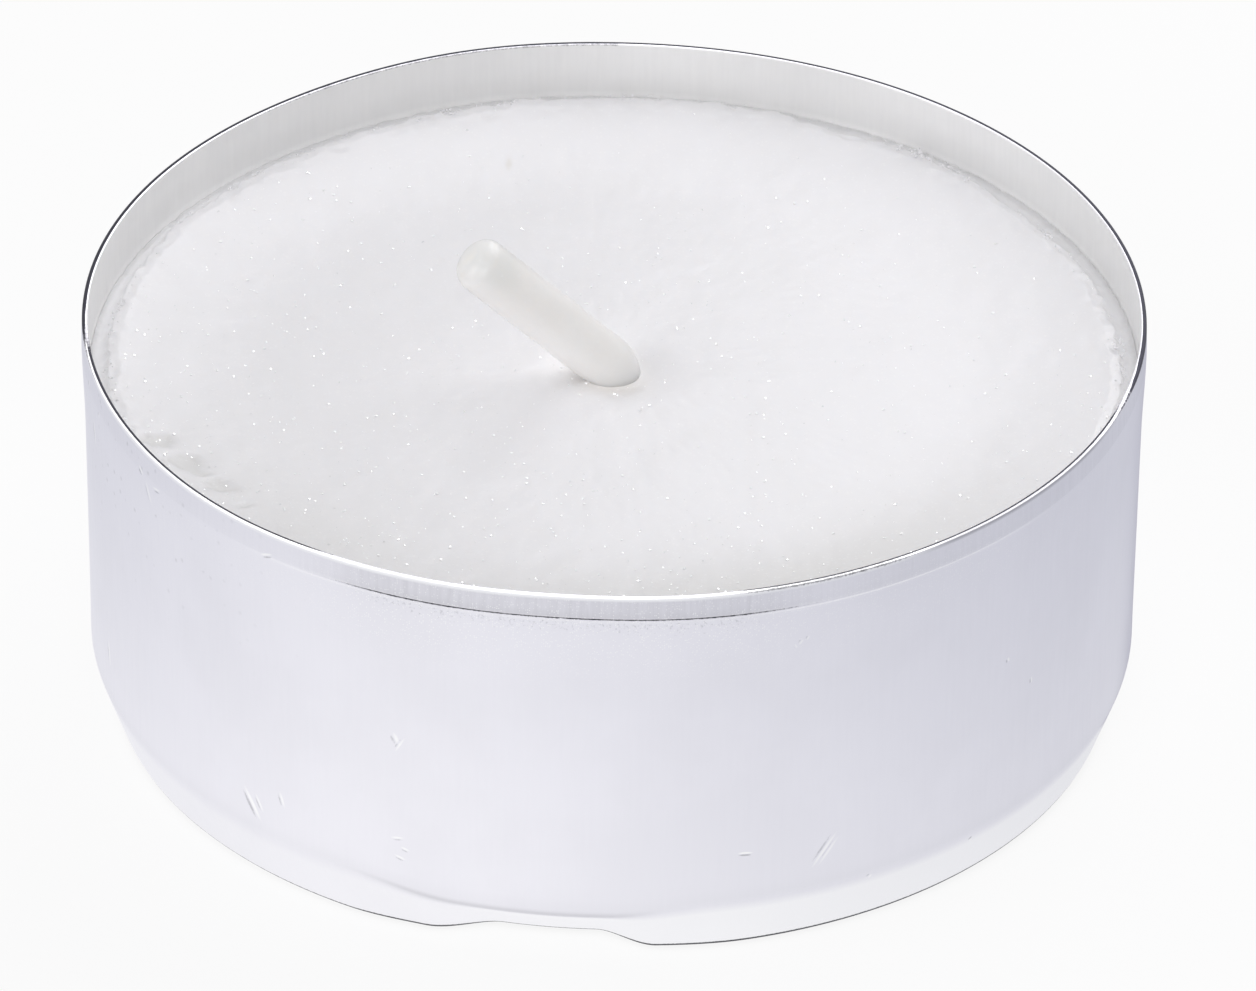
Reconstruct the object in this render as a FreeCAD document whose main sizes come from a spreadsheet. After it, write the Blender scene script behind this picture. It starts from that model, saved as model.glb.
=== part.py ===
import FreeCAD, Part
import math
import os
import Sketcher

# Tea light candle: a drawn aluminium cup holds a pressed wax tablet, and a coated wick leans
# out of the tablet's middle, held upright below by a crimped steel sustainer.
# The origin is the middle of the cup's base, +Z is up, and the dented side faces -Y.

# Lengths are in millimetres. A lean is in degrees from upright, and a turn in degrees about Z.
SIZES = {
    # Cup
    "cup_diameter": 38.0,
    "cup_height": 15.4,
    "sheet": 0.2,
    "band_height": 0.93,
    "band_step": 0.06,
    "band_slope": 0.12,
    "wall_taper": 0.22,
    "foot_height": 2.43,
    "foot_setback": 0.894,
    "corner_bend": 0.2,
    "ring_width": 2.1,
    "panel_rise": 0.4,
    "panel_slope": 0.35,
    # Dent in the foot
    "dent_depth": 1.3,
    "dent_height": 2.0,
    "dent_flat": 3.6,
    "dent_edge": 3.0,
    "dent_turn": -7.5,
    # Wax tablet
    "tablet_gap": 0.2,
    "headspace": 1.85,
    "tablet_edge": 0.15,
    "border_width": 0.5,
    "dome_drop": 0.2,
    "dome_radius": 300.0,
    "dome_width": 23.0,
    # Wick
    "coat_diameter": 2.0,
    "core_diameter": 0.7,
    "core_offset": 0.3,
    "coat_gap": 0.02,
    "channel_gap": 0.05,
    "bend_inside": 0.3,
    "bend_depth": 0.7,
    "wick_lean": 45.0,
    "wick_tail": 6.9,
    "wick_turn": 192.0,
    "tip_rounding": 0.6,
    # Wick sustainer
    "disc_diameter": 12.5,
    "plate": 0.2,
    "neck_height": 3.2,
    "neck_wall": 0.2,
    "neck_root": 0.5,
    "neck_gap": 0.05,
    "crimp_start": 1.5,
    "crimp_length": 1.1,
    "crimp_depth": 0.2,
    "recess_gap": 0.15,
}

ORIGIN = -1
X_AXIS = -1
Y_AXIS = -2
START, END, CENTRE = range(1, 4)
RIGHT_ANGLE = 90
SAME_PLACE = 0.01
LARGEST_ROUNDING = 0.9

doc = FreeCAD.newDocument("tea_light_candle")


def make_sheet():
    """Writes the driving sizes as plain numbers, each with its alias."""
    sheet = doc.addObject("Spreadsheet::Sheet", "Sizes")
    for row, (name, value) in enumerate(SIZES.items(), start=1):
        sheet.set(f"A{row}", name)
        sheet.set(f"B{row}", str(value))
        sheet.setAlias(f"B{row}", name)
    doc.recompute()
    return sheet


sheet = make_sheet()


class Size:
    """A length that knows its number and the sheet expression that drives it."""

    def __init__(self, value, text):
        self.value = value
        self.text = text

    def __add__(self, other):
        other = as_size(other)
        return Size(self.value + other.value, f"({self.text} + {other.text})")

    def __sub__(self, other):
        other = as_size(other)
        return Size(self.value - other.value, f"({self.text} - {other.text})")

    def __mul__(self, other):
        other = as_size(other)
        return Size(self.value * other.value, f"({self.text} * {other.text})")

    def __truediv__(self, other):
        other = as_size(other)
        return Size(self.value / other.value, f"({self.text} / {other.text})")

    def __neg__(self):
        return Size(-self.value, f"(-{self.text})")


def as_size(number):
    if isinstance(number, Size):
        return number
    return Size(float(number), repr(float(number)))


def size(name):
    return Size(float(sheet.get(name)), f"Sizes.{name}")


def root(square):
    return Size(math.sqrt(square.value), f"sqrt({square.text})")


def smaller(one, other):
    return Size(min(one.value, other.value), f"min({one.text}; {other.text})")


def half_turn(along, across):
    """Gives the tangent of half the angle by which an edge turns from the way along."""
    return (root(along * along + across * across) - along) / across


ZERO = as_size(0)
RIM = size("cup_diameter") / 2
BAND = RIM - size("band_step")
CREASE = BAND - size("wall_taper")
FOOT = CREASE - size("foot_setback")
RING = FOOT - size("ring_width")
TOP = size("cup_height")
BAND_BASE = TOP - size("band_height")
FLOOR = size("panel_rise") + size("sheet")
TABLET = CREASE - size("sheet") - size("tablet_gap")
TABLET_TOP = TOP - size("headspace")
DOME_TOP = TABLET_TOP - size("dome_drop")
COAT = size("coat_diameter") / 2
CORE = size("core_diameter") / 2
CHANNEL = COAT + size("channel_gap")
NECK_BORE = COAT + size("neck_gap")
NECK = NECK_BORE + size("neck_wall")
BEND_START = DOME_TOP - size("bend_depth")


def new_body(name, turn=None):
    """Starts a body, turned about Z where an angle is given."""
    body = doc.addObject("PartDesign::Body", name)
    if turn is not None:
        body.setExpression("Placement", f"placement(vector(0; 0; 0); "
                                        f"rotation(vector(0; 0; 1); {turn.text}))")
    return body


def new_sketch(body, name, role, height=None):
    """Puts a sketch on one of the body's planes, raised by height where one is given."""
    sketch = body.newObject("Sketcher::SketchObject", name)
    plane = next(item for item in body.Origin.OriginFeatures if item.Role == role)
    sketch.AttachmentSupport = (plane, [""])
    sketch.MapMode = "FlatFace"
    if height is not None:
        sketch.setExpression("AttachmentOffset.Base.z", height.text)
    return sketch


def bind(sketch, constraint, driver):
    """Adds a constraint and ties its value to the sheet."""
    index = sketch.addConstraint(constraint)
    sketch.setExpression(f"Constraints[{index}]", driver.text)


def pin_point(sketch, edge, end, x, y):
    """Holds a point of an edge at a place measured from the sketch's origin."""
    if x.value == 0:
        sketch.addConstraint(Sketcher.Constraint("PointOnObject", edge, end, Y_AXIS))
    else:
        bind(sketch, Sketcher.Constraint("DistanceX", ORIGIN, START, edge, end, x.value), x)
    if y.value == 0:
        sketch.addConstraint(Sketcher.Constraint("PointOnObject", edge, end, X_AXIS))
    else:
        bind(sketch, Sketcher.Constraint("DistanceY", ORIGIN, START, edge, end, y.value), y)


def arc_between(start, end, radius):
    """Makes an arc from start to end; a positive radius bulges to the right of the way."""
    chord = end - start
    side = FreeCAD.Vector(chord.y, -chord.x, 0).normalize()
    bend = abs(radius)
    rise = bend - math.sqrt(bend ** 2 - (chord.Length / 2) ** 2)
    middle = (start + end) / 2 + side * math.copysign(rise, radius)
    return Part.Arc(start, middle, end)


def end_at(sketch, edge, point):
    """Says which end of an edge lies on a point, because arcs always run anticlockwise."""
    from_start = (sketch.getPoint(edge, START) - point).Length
    from_end = (sketch.getPoint(edge, END) - point).Length
    return START if from_start < from_end else END


def draw_edge(sketch, start, end, radius=None):
    """Draws a line, or an arc where a radius is given."""
    if radius is None:
        return sketch.addGeometry(Part.LineSegment(start, end), False)
    edge = sketch.addGeometry(arc_between(start, end, radius.value), False)
    bend = radius if radius.value > 0 else -radius
    bind(sketch, Sketcher.Constraint("Radius", edge, bend.value), bend)
    return edge


def draw_outline(sketch, corners):
    """Draws a closed outline through corners (x, y) or (x, y, radius of the next edge)."""
    points = [FreeCAD.Vector(corner[0].value, corner[1].value, 0) for corner in corners]
    edges = [draw_edge(sketch, start, end, *corner[2:])
             for corner, start, end in zip(corners, points, points[1:] + points[:1])]
    for corner, point, edge, before in zip(corners, points, edges, edges[-1:] + edges[:-1]):
        here = end_at(sketch, edge, point)
        there = end_at(sketch, before, point)
        sketch.addConstraint(Sketcher.Constraint("Coincident", before, there, edge, here))
        pin_point(sketch, edge, here, corner[0], corner[1])


def draw_circle(sketch, radius, offset):
    """Draws a circle whose middle stands this far along X from the sketch's origin."""
    middle = FreeCAD.Vector(offset.value, 0, 0)
    axis = FreeCAD.Vector(0, 0, 1)
    edge = sketch.addGeometry(Part.Circle(middle, axis, radius.value), False)
    pin_point(sketch, edge, CENTRE, offset, ZERO)
    bind(sketch, Sketcher.Constraint("Radius", edge, radius.value), radius)


def turn_solid(body, name, corners):
    """Revolves an outline of radius and height about the Z axis."""
    sketch = new_sketch(body, f"{name}_outline", "XZ_Plane")
    draw_outline(sketch, corners)
    turned = body.newObject("PartDesign::Revolution", name)
    turned.Profile = sketch
    turned.ReferenceAxis = (sketch, ["V_Axis"])
    turned.Angle = 360
    doc.recompute()
    return turned


def round_rings(body, base, name, bend, rings):
    """Rounds the circular edges of a feature that have these radii and heights."""
    def wanted(edge):
        circle = edge.Curve
        return isinstance(circle, Part.Circle) and any(
            abs(circle.Radius - radius.value) < SAME_PLACE
            and abs(circle.Center.z - height.value) < SAME_PLACE
            for radius, height in rings)

    names = [f"Edge{number}" for number, edge in enumerate(base.Shape.Edges, start=1)
             if wanted(edge)]
    fillet = body.newObject("PartDesign::Fillet", name)
    fillet.Base = (base, names)
    fillet.Radius = bend.value
    fillet.setExpression("Radius", bend.text)
    doc.recompute()
    return fillet


def check_removed(name, before, after):
    """Stops where a cut, bore or pocket has missed the solid."""
    if not after.Volume < before.Volume:
        raise RuntimeError(f"{name} takes nothing away")


def cut(name, base, tool):
    """Takes one shape away from another."""
    result = doc.addObject("Part::Cut", name)
    result.Base = base
    result.Tool = tool
    doc.recompute()
    check_removed(name, base.Shape, result.Shape)
    return result


def cup_outside():
    """Makes the cup's outer form: standing ring, drawn-in foot, drafted wall and rim band."""
    body = new_body("cup_blank")
    panel = RING - size("panel_slope")
    turned = turn_solid(body, "cup_blank_turned", [
        (ZERO, size("panel_rise")),
        (panel, size("panel_rise")),
        (RING, ZERO),
        (FOOT, ZERO),
        (CREASE, size("foot_height")),
        (BAND, BAND_BASE - size("band_slope")),
        (RIM, BAND_BASE),
        (RIM, TOP),
        (ZERO, TOP),
    ])
    outer_bend = size("corner_bend") + size("sheet")
    bent = round_rings(body, turned, "cup_blank_corners", outer_bend, [(FOOT, ZERO), (RING, ZERO)])
    round_rings(body, bent, "cup_blank_panel", size("corner_bend"), [(panel, size("panel_rise"))])
    return body


def cup_inside():
    """Makes the cup's hollow, one sheet thickness inside the outer form."""
    body = new_body("cup_hollow")
    sheet_in = size("sheet")
    step = sheet_in * half_turn(size("panel_slope"), size("panel_rise"))
    ring = RING + step
    panel = RING - size("panel_slope") + step
    foot = FOOT - sheet_in * half_turn(size("foot_setback"), size("foot_height"))
    fold = sheet_in * half_turn(size("foot_height"), size("foot_setback"))
    turned = turn_solid(body, "cup_hollow_turned", [
        (ZERO, FLOOR),
        (panel, FLOOR),
        (ring, sheet_in),
        (foot, sheet_in),
        (CREASE - sheet_in, size("foot_height") + fold),
        (BAND - sheet_in, BAND_BASE - size("band_slope")),
        (RIM - sheet_in, BAND_BASE),
        (RIM - sheet_in, TOP + sheet_in),
        (ZERO, TOP + sheet_in),
    ])
    outer_bend = size("corner_bend") + sheet_in
    bent = round_rings(body, turned, "cup_hollow_corners", size("corner_bend"),
                       [(foot, sheet_in), (ring, sheet_in)])
    round_rings(body, bent, "cup_hollow_panel", outer_bend, [(panel, FLOOR)])
    return body


def dent_bar(name, grow):
    """Makes the blunt bar that presses the dent in, leaning along the foot at its middle."""
    inner = FOOT - size("dent_depth")
    rise = size("dent_height")
    run = FOOT + size("foot_setback") * rise / size("foot_height") - inner
    half = size("dent_flat") / 2
    edge = size("dent_edge")
    side = half + edge + grow
    spare = rise * 2
    bar = doc.addObject("PartDesign::Body", name)
    bar.setExpression("Placement",
                      "placement(vector(0; 0; 0); rotation(vector(0; 0; 1); "
                      f"{(size('dent_turn') - RIGHT_ANGLE).text}))"
                      f" * placement(vector({inner.text}; 0; 0); "
                      f"rotation(vector(0; 1; 0); atan({(run / rise).text})))")
    section = new_sketch(bar, f"{name}_section", "XY_Plane", -spare)
    draw_outline(section, [
        (-grow, half),
        (-grow, -half, edge + grow),
        (edge, -side),
        (edge + spare, -side),
        (edge + spare, side),
        (edge, side, edge + grow),
    ])
    length = bar.newObject("PartDesign::Pad", f"{name}_length")
    length.Profile = section
    length.setExpression("Length", (root(run * run + rise * rise) + spare * 2).text)
    doc.recompute()
    return bar


def make_cup():
    """Draws the cup, and dents sheet and hollow alike so that the sheet keeps its thickness."""
    outside = cut("cup_outside", cup_outside(), dent_bar("dent_outside", ZERO))
    inside = cut("cup_inside", cup_inside(), dent_bar("dent_inside", size("sheet")))
    return cut("cup", outside, inside)


def dome_edge():
    """Gives how far the dome drops at its edge, and the arc that leads on to the border."""
    bend = size("dome_radius")
    reach = size("dome_width") / 2
    across = TABLET - size("tablet_edge") - size("border_width") - reach
    upright = root(bend * bend - reach * reach)
    drop = bend - upright
    rise = size("dome_drop") + drop
    valley = (across * across + rise * rise) * bend / (across * reach + rise * upright) / 2
    return drop, valley


def make_wax():
    """Makes the tablet: dished top, foot that clears the dent, recess and wick channel."""
    body = new_body("tablet_blank")
    drop, valley = dome_edge()
    gap = size("recess_gap")
    disc_top = FLOOR + size("plate") + gap
    neck_side = NECK + gap
    edge = TABLET - size("tablet_edge")
    turn_solid(body, "tablet_turned", [
        (ZERO, FLOOR + size("neck_height") + gap),
        (neck_side, FLOOR + size("neck_height") + gap),
        (neck_side, disc_top + size("neck_root")),
        (neck_side + size("neck_root"), disc_top),
        (size("disc_diameter") / 2 + gap, disc_top),
        (size("disc_diameter") / 2 + gap, FLOOR),
        (FOOT - size("dent_depth") - size("sheet") - size("tablet_gap"), FLOOR),
        (TABLET, size("foot_height") + size("sheet")),
        (TABLET, TABLET_TOP - size("tablet_edge"), size("tablet_edge")),
        (edge, TABLET_TOP),
        (edge - size("border_width"), TABLET_TOP, -valley),
        (size("dome_width") / 2, DOME_TOP - drop, size("dome_radius")),
        (ZERO, DOME_TOP),
    ])
    return cut("wax", body, bent_rod("wick_channel", CHANNEL))


def wick_path(body, name):
    """Draws the wick's centre line: up through the neck, round a bend and out at a lean."""
    path = new_sketch(body, f"{name}_path", "XZ_Plane")
    bend = COAT + size("bend_inside")
    lean = size("wick_lean")
    turn = math.radians(lean.value)
    foot = FreeCAD.Vector(0, FLOOR.value, 0)
    knee = FreeCAD.Vector(0, BEND_START.value, 0)
    heading = FreeCAD.Vector(math.sin(turn), math.cos(turn), 0)
    neck = knee + FreeCAD.Vector(1 - math.cos(turn), math.sin(turn), 0) * bend.value
    tip = neck + heading * size("wick_tail").value
    stem = path.addGeometry(Part.LineSegment(foot, knee), False)
    arc = path.addGeometry(arc_between(neck, knee, bend.value), False)
    tail = path.addGeometry(Part.LineSegment(neck, tip), False)
    pin_point(path, stem, START, ZERO, FLOOR)
    pin_point(path, stem, END, ZERO, BEND_START)
    path.addConstraint(Sketcher.Constraint("Tangent", stem, END, arc, end_at(path, arc, knee)))
    path.addConstraint(Sketcher.Constraint("Tangent", arc, end_at(path, arc, neck), tail, START))
    bind(path, Sketcher.Constraint("Radius", arc, bend.value), bend)
    bind(path, Sketcher.Constraint("Distance", tail, size("wick_tail").value), size("wick_tail"))
    bind(path, Sketcher.Constraint("Angle", tail, math.pi / 2 - turn), as_size(RIGHT_ANGLE) - lean)
    return path


def sweep(body, kind, name, radius, offset):
    """Sweeps a circle along the wick's path, to add a rod or to bore a hole."""
    path = wick_path(body, name)
    section = new_sketch(body, f"{name}_section", "XY_Plane", FLOOR)
    draw_circle(section, radius, offset)
    pipe = body.newObject(kind, f"{name}_pipe")
    pipe.Profile = section
    pipe.Spine = (path, ["Edge1", "Edge2", "Edge3"])
    doc.recompute()


def bent_rod(name, radius, offset=ZERO):
    """Makes a round rod that follows the wick, this far to the inside of its bend."""
    body = new_body(name, size("wick_turn"))
    sweep(body, "PartDesign::AdditivePipe", name, radius, offset)
    return body


def pinch(body, name, radius):
    """Presses two flats into a rod of this radius, as the crimp of the neck does."""
    before = body.Shape.copy()
    jaws = new_sketch(body, f"{name}_jaws", "XY_Plane", FLOOR + size("crimp_start"))
    inner = radius - size("crimp_depth")
    outer = radius + size("neck_wall")
    for near, far in ((inner, outer), (-outer, -inner)):
        draw_outline(jaws, [(-outer, near), (outer, near), (outer, far), (-outer, far)])
    flats = body.newObject("PartDesign::Pocket", f"{name}_flats")
    flats.Profile = jaws
    flats.Reversed = True
    flats.setExpression("Length", size("crimp_length").text)
    doc.recompute()
    check_removed(f"{name}_flats", before, body.Shape)


def make_coat():
    """Makes the wax coat of the wick: rounded at its tip, bored for the core, pinched below."""
    body = bent_rod("wick_coat", COAT)
    rod = body.Tip
    rings = [(edge.CenterOfMass.z, f"Edge{number}")
             for number, edge in enumerate(rod.Shape.Edges, start=1)
             if isinstance(edge.Curve, Part.Circle)
             and abs(edge.Curve.Radius - COAT.value) < SAME_PLACE]
    rounding = smaller(size("tip_rounding"), COAT * LARGEST_ROUNDING)
    tip = body.newObject("PartDesign::Fillet", "wick_coat_tip")
    tip.Base = (rod, [max(rings)[1]])
    tip.Radius = rounding.value
    tip.setExpression("Radius", rounding.text)
    doc.recompute()
    unbored = body.Shape.copy()
    bore = CORE + size("coat_gap")
    sweep(body, "PartDesign::SubtractivePipe", "wick_coat_bore", bore, size("core_offset"))
    check_removed("wick_coat_bore", unbored, body.Shape)
    pinch(body, "wick_coat", COAT)
    return body


def make_core():
    """Makes the cotton core, which shows at the cut end, nearer to the inside of the bend."""
    return bent_rod("wick", CORE, size("core_offset"))


def make_sustainer():
    """Makes the sustainer: a disc drawn up into a neck and crimped on the wick."""
    body = new_body("sustainer_blank", size("wick_turn"))
    disc = size("disc_diameter") / 2
    disc_top = FLOOR + size("plate")
    turn_solid(body, "sustainer_turned", [
        (ZERO, FLOOR),
        (disc, FLOOR),
        (disc, disc_top),
        (NECK + size("neck_root"), disc_top, -size("neck_root")),
        (NECK, disc_top + size("neck_root")),
        (NECK, FLOOR + size("neck_height")),
        (ZERO, FLOOR + size("neck_height")),
    ])
    pinch(body, "sustainer", NECK)
    bore = new_body("sustainer_bore", size("wick_turn"))
    turn_solid(bore, "sustainer_bore_turned", [
        (ZERO, FLOOR - size("plate")),
        (NECK_BORE, FLOOR - size("plate")),
        (NECK_BORE, FLOOR + size("neck_height") + size("plate")),
        (ZERO, FLOOR + size("neck_height") + size("plate")),
    ])
    pinch(bore, "sustainer_bore", NECK_BORE)
    return cut("wick_sustainer", body, bore)


def check_and_write(parts):
    """Stops at a failed object or a bad solid, and then writes each part to its own file."""
    doc.recompute()
    for item in doc.Objects:
        if "Invalid" in item.State or "Error" in item.State:
            raise RuntimeError(f"{item.Name} failed: {item.State}")
    for name, part in parts.items():
        part.Label = name
        shape = part.Shape
        if shape.isNull() or not shape.isValid() or len(shape.Solids) != 1:
            raise RuntimeError(f"{name} is not one valid solid")
        print(f"{name}: {shape.Volume:.3f} mm3, {len(shape.Faces)} faces")
    os.makedirs("parts", exist_ok=True)
    for name, part in parts.items():
        part.Shape.exportStep(f"parts/{name}.step")


check_and_write({
    "cup": make_cup(),
    "wax": make_wax(),
    "wick": make_core(),
    "wick_coat": make_coat(),
    "wick_sustainer": make_sustainer(),
})
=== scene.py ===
"""Dresses the packed tea light candle: aluminium cup, wax tablet, wick and stage."""

import math

import bmesh
import bpy
import numpy as np
from mathutils import Matrix, Vector, noise


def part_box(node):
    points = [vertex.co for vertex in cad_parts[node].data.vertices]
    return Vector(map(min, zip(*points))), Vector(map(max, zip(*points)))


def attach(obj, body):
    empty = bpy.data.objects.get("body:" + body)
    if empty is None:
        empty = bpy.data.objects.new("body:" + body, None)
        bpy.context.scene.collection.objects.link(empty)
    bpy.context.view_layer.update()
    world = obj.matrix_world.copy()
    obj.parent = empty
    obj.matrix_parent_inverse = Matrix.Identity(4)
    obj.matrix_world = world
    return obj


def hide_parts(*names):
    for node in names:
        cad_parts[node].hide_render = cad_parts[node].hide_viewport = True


bl_info = {
    "name": "Tea Light Candle",
    "version": (1, 0, 0),
    "blender": (4, 5, 0),
    "location": "View3D > Sidebar > Tea Light",
    "description": "Dresses a tea light candle and sets its stage",
    "category": "Add Mesh",
}

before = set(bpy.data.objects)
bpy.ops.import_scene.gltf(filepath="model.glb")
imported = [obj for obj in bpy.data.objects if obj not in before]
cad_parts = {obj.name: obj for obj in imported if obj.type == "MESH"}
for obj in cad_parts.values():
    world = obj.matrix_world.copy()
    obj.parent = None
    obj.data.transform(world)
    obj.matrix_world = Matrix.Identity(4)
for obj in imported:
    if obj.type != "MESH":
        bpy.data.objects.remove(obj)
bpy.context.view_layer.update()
CUP_LOW, CUP_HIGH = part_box("cup")
WAX_LOW, WAX_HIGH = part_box("wax")

MM = 0.001
FULL_TURN = 2 * math.pi
UP = Vector((0, 0, 1))


# Settings that a user would change

def distance(label, description, mm):
    return bpy.props.FloatProperty(
        name=label, description=description, default=mm * MM, unit="LENGTH", subtype="DISTANCE",
        precision=5)


def angle(label, description, degrees):
    return bpy.props.FloatProperty(
        name=label, description=description, default=math.radians(degrees), unit="ROTATION",
        subtype="ANGLE")


def colour(label, description, value):
    return bpy.props.FloatVectorProperty(
        name=label, description=description, default=value, size=3, min=0, max=1, subtype="COLOR")


def factor(label, description, value):
    return bpy.props.FloatProperty(
        name=label, description=description, default=value, min=0, subtype="FACTOR")


def count(label, description, value):
    return bpy.props.IntProperty(name=label, description=description, default=value, min=1)


class CupSettings(bpy.types.PropertyGroup):
    """Shape and finish of the drawn cup."""

    columns: count("Columns", "Points round the cup", 640)
    sheet: distance("Sheet", "Thickness of the drawn aluminium", 0.2)
    band_height: distance("Band height", "Height of the straight band under the rim", 0.93)
    band_step: distance("Band step", "How far the band stands out from the wall", 0.06)
    band_slope: distance("Band slope", "Height of the slope under the band", 0.12)
    band_lean: distance("Band lean", "How far the band leans in to the lip", 0.018)
    wall_taper: distance("Wall taper", "How far the wall leans in down to the crease", 0.22)
    foot_height: distance("Foot height", "Height of the crease above the foot", 2.43)
    foot_setback: distance("Foot setback", "How far the foot is drawn in", 0.894)
    ring_width: distance("Ring width", "Width of the standing ring", 2.1)
    panel_rise: distance("Panel rise", "Height of the raised base panel", 0.4)
    panel_slope: distance("Panel slope", "Width of the slope up to the base panel", 0.35)
    crease_bend: distance("Crease bend", "Bend radius of the crease above the foot", 0.9)
    groove: distance("Groove", "Depth of the scored line under the band", 0.03)
    ripple: distance("Ripple", "Height of the sheet's faint waves", 0.006)
    bead: distance("Bead", "How far the wall swells just above the crease", 0.008)
    metal: colour("Aluminium", "Colour of the bright sheet", (0.868, 0.862, 0.915))
    lining: colour("Lining", "Colour of the cup's inside", (0.91, 0.91, 0.90))
    # Painted glow: emission on the inner wall at the wax level, standing in for light that comes through the
    # wax
    painted_wall_glow: colour("Wax glow", "Light that comes through the wax on to the wall", (0.09, 0.09, 0.09))
    # Near-black colour: it paints the dark reflections on the lip, the contact shade at the foot and the
    # shade in the scored groove; a third of it darkens the scuffs
    worn: colour("Worn aluminium", "Colour of burrs, scores and scuffs", (0.03, 0.03, 0.042))


class DentSettings(bpy.types.PropertyGroup):
    """The dent in the front of the cup's foot."""

    depth: distance("Depth", "How far the foot is pushed in", 1.28)
    shoulder: distance("Shoulder", "How far the sheet round the dent is drawn in", 0.2)
    left_foot: angle("Left foot", "Where the dent starts on the left", -21.5)
    left_top: angle("Left top", "Where it reaches its depth on the left", -12.8)
    right_top: angle("Right top", "Where it leaves its depth on the right", -1.6)
    right_foot: angle("Right foot", "Where the dent ends on the right", 5.5)
    ledge: distance("Ledge", "How far the wall overhangs the dent at the crease", 0.12)
    sag: distance("Sag", "How far the crease is pulled down over the dent", 0.35)


class WaxSettings(bpy.types.PropertyGroup):
    """Shape and finish of the pressed wax tablet."""

    columns: count("Columns", "Points round the tablet", 760)
    dome_drop: distance("Dome drop", "How far the middle lies under the border", 0.2)
    dome_radius: distance("Dome radius", "Radius of the middle's dome", 200.0)
    dome_reach: distance("Dome reach", "Radius at which the dome ends in the valley", 11.5)
    border: distance("Border", "Width of the flat border", 0.5)
    foot_radius: distance("Foot radius", "Radius of the tablet's underside", 16.1)
    grit: distance("Grit", "Height of the pressed surface's lumps", 0.035)
    rag: distance("Rag", "How far the ragged edge wanders", 0.13)
    shoulder: distance("Shoulder", "Radius of the crumbled wax packed against the wall", 18.72)
    dip: distance("Dip", "How far the wax dips round the foot of the wick", 0.35)
    crystals: count("Crystals", "Number of bright wax crystals on the top", 2000)
    wax: colour("Wax", "Colour of the wax", (0.885, 0.88, 0.90))
    # Also paints the shade in the valley of the top
    clear: colour("Clear wax", "Colour where the wax is clearer", (0.80, 0.795, 0.79))
    stain: colour("Stain", "Colour where the wick shows through", (0.79, 0.765, 0.735))
    frost: colour("Frost", "Colour of the frosted grain", (0.97, 0.97, 0.97))
    # Painted glow: emission on the tablet's sides at the wall, standing in for light that comes through the
    # wax
    glow: colour("Glow", "Light that comes through the wax at the wall", (0.035, 0.035, 0.035))


class WickSettings(bpy.types.PropertyGroup):
    """Shape and finish of the waxed wick."""

    coat_radius: distance("Coat radius", "Radius of the waxed wick", 1.0)
    core_radius: distance("Core radius", "Radius of the cotton core", 0.34)
    core_offset: distance("Core offset", "How far the core lies to the inside of the bend", 0.3)
    bend_inside: distance("Bend inside", "Radius inside the bend", 0.3)
    bend_depth: distance("Bend depth", "Depth of the bend's start under the dome", 0.7)
    tail: distance("Tail", "Length from the bend to the tip", 6.9)
    lean: angle("Lean", "Lean of the tail from upright", 45.0)
    turn: angle("Turn", "Direction of the lean about the cup's axis", 192.0)
    tip_bend: distance("Tip bend", "Rounding of the coat's tip", 0.6)
    strands: count("Strands", "Twisted cotton strands in the core", 7)
    coat: colour("Coat", "Colour of the wick's wax coat", (0.90, 0.88, 0.855))
    clear: colour("Clear tip", "Colour of the coat's clear tip", (0.84, 0.84, 0.82))
    cotton: colour("Cotton", "Colour of the cotton core", (0.97, 0.94, 0.85))


class StageSettings(bpy.types.PropertyGroup):
    """Camera, lamps, floor and world."""

    elevation: angle("Elevation", "How far the camera looks down", 32.1319)
    roll: angle("Roll", "Roll of the camera", 0.5541)
    camera_distance: distance("Camera distance", "From the camera to the candle", 700.0)
    aim_height: distance("Aim height", "Height that the camera looks at", 8.0)
    aim_right: distance("Aim right", "Sideways place of the picture's middle", 0.546)
    aim_up: distance("Aim up", "Upward place of the picture's middle", -0.1725)
    sensor: bpy.props.FloatProperty(name="Sensor", description="Sensor width in millimetres",
                                    default=36.0)
    lens: bpy.props.FloatProperty(name="Lens", description="Focal length in millimetres",
                                  default=559.57)
    floor_radius: distance("Floor radius", "Radius of the floor", 3000.0)
    fill: factor("Fill", "Strength of the world's soft light", 0.38)
    floor_colour: colour("Floor", "Colour of the floor", (0.9, 0.9, 0.9))
    floor_glow: factor("Floor glow", "Share of the floor that shows plain white", 0.88)
    pool_x: distance("Pool across", "Place of the brightest floor in reflections, to the right", -12.0)
    pool_y: distance("Pool along", "Place of the brightest floor in reflections, to the back", -22.0)
    pool_near: distance("Pool near", "Distance at which the floor starts to dim", 6.0)
    pool_far: distance("Pool far", "Distance at which the floor is dimmest", 56.0)
    lamp_colour: colour("Lamps", "Colour of the lamps", (0.985, 0.975, 1.0))
    dim_floor: colour("Dim floor", "Colour of the far floor in reflections", (0.64, 0.65, 0.70))
    shade: colour("Shade", "Colour of the shade behind the candle's right side in reflections",
                  (0.14, 0.14, 0.24))
    shade_x: distance("Shade across", "Where that shade starts, to the right", 18.5)
    shade_y: distance("Shade along", "Where that shade starts, to the back", -4.0)
    shade_full: angle("Shade core", "Half the angle over which that shade is full", 10.89)
    shade_end: angle("Shade end", "Half the angle over which that shade fades out", 25.78)


SETTINGS = {
    "tea_light_cup": CupSettings,
    "tea_light_dent": DentSettings,
    "tea_light_wax": WaxSettings,
    "tea_light_wick": WickSettings,
    "tea_light_stage": StageSettings,
}


# Numbers and shapes

def ease(low, high, value):
    """Rises softly from 0 at low to 1 at high."""
    share = np.clip((value - low) / (high - low), 0, 1)
    return share * share * (3 - 2 * share)


def bell(value, middle, half):
    """A soft bump: 1 at the middle, and about a third at the half width."""
    return np.exp(-(((value - middle) / half) ** 2))


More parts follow.
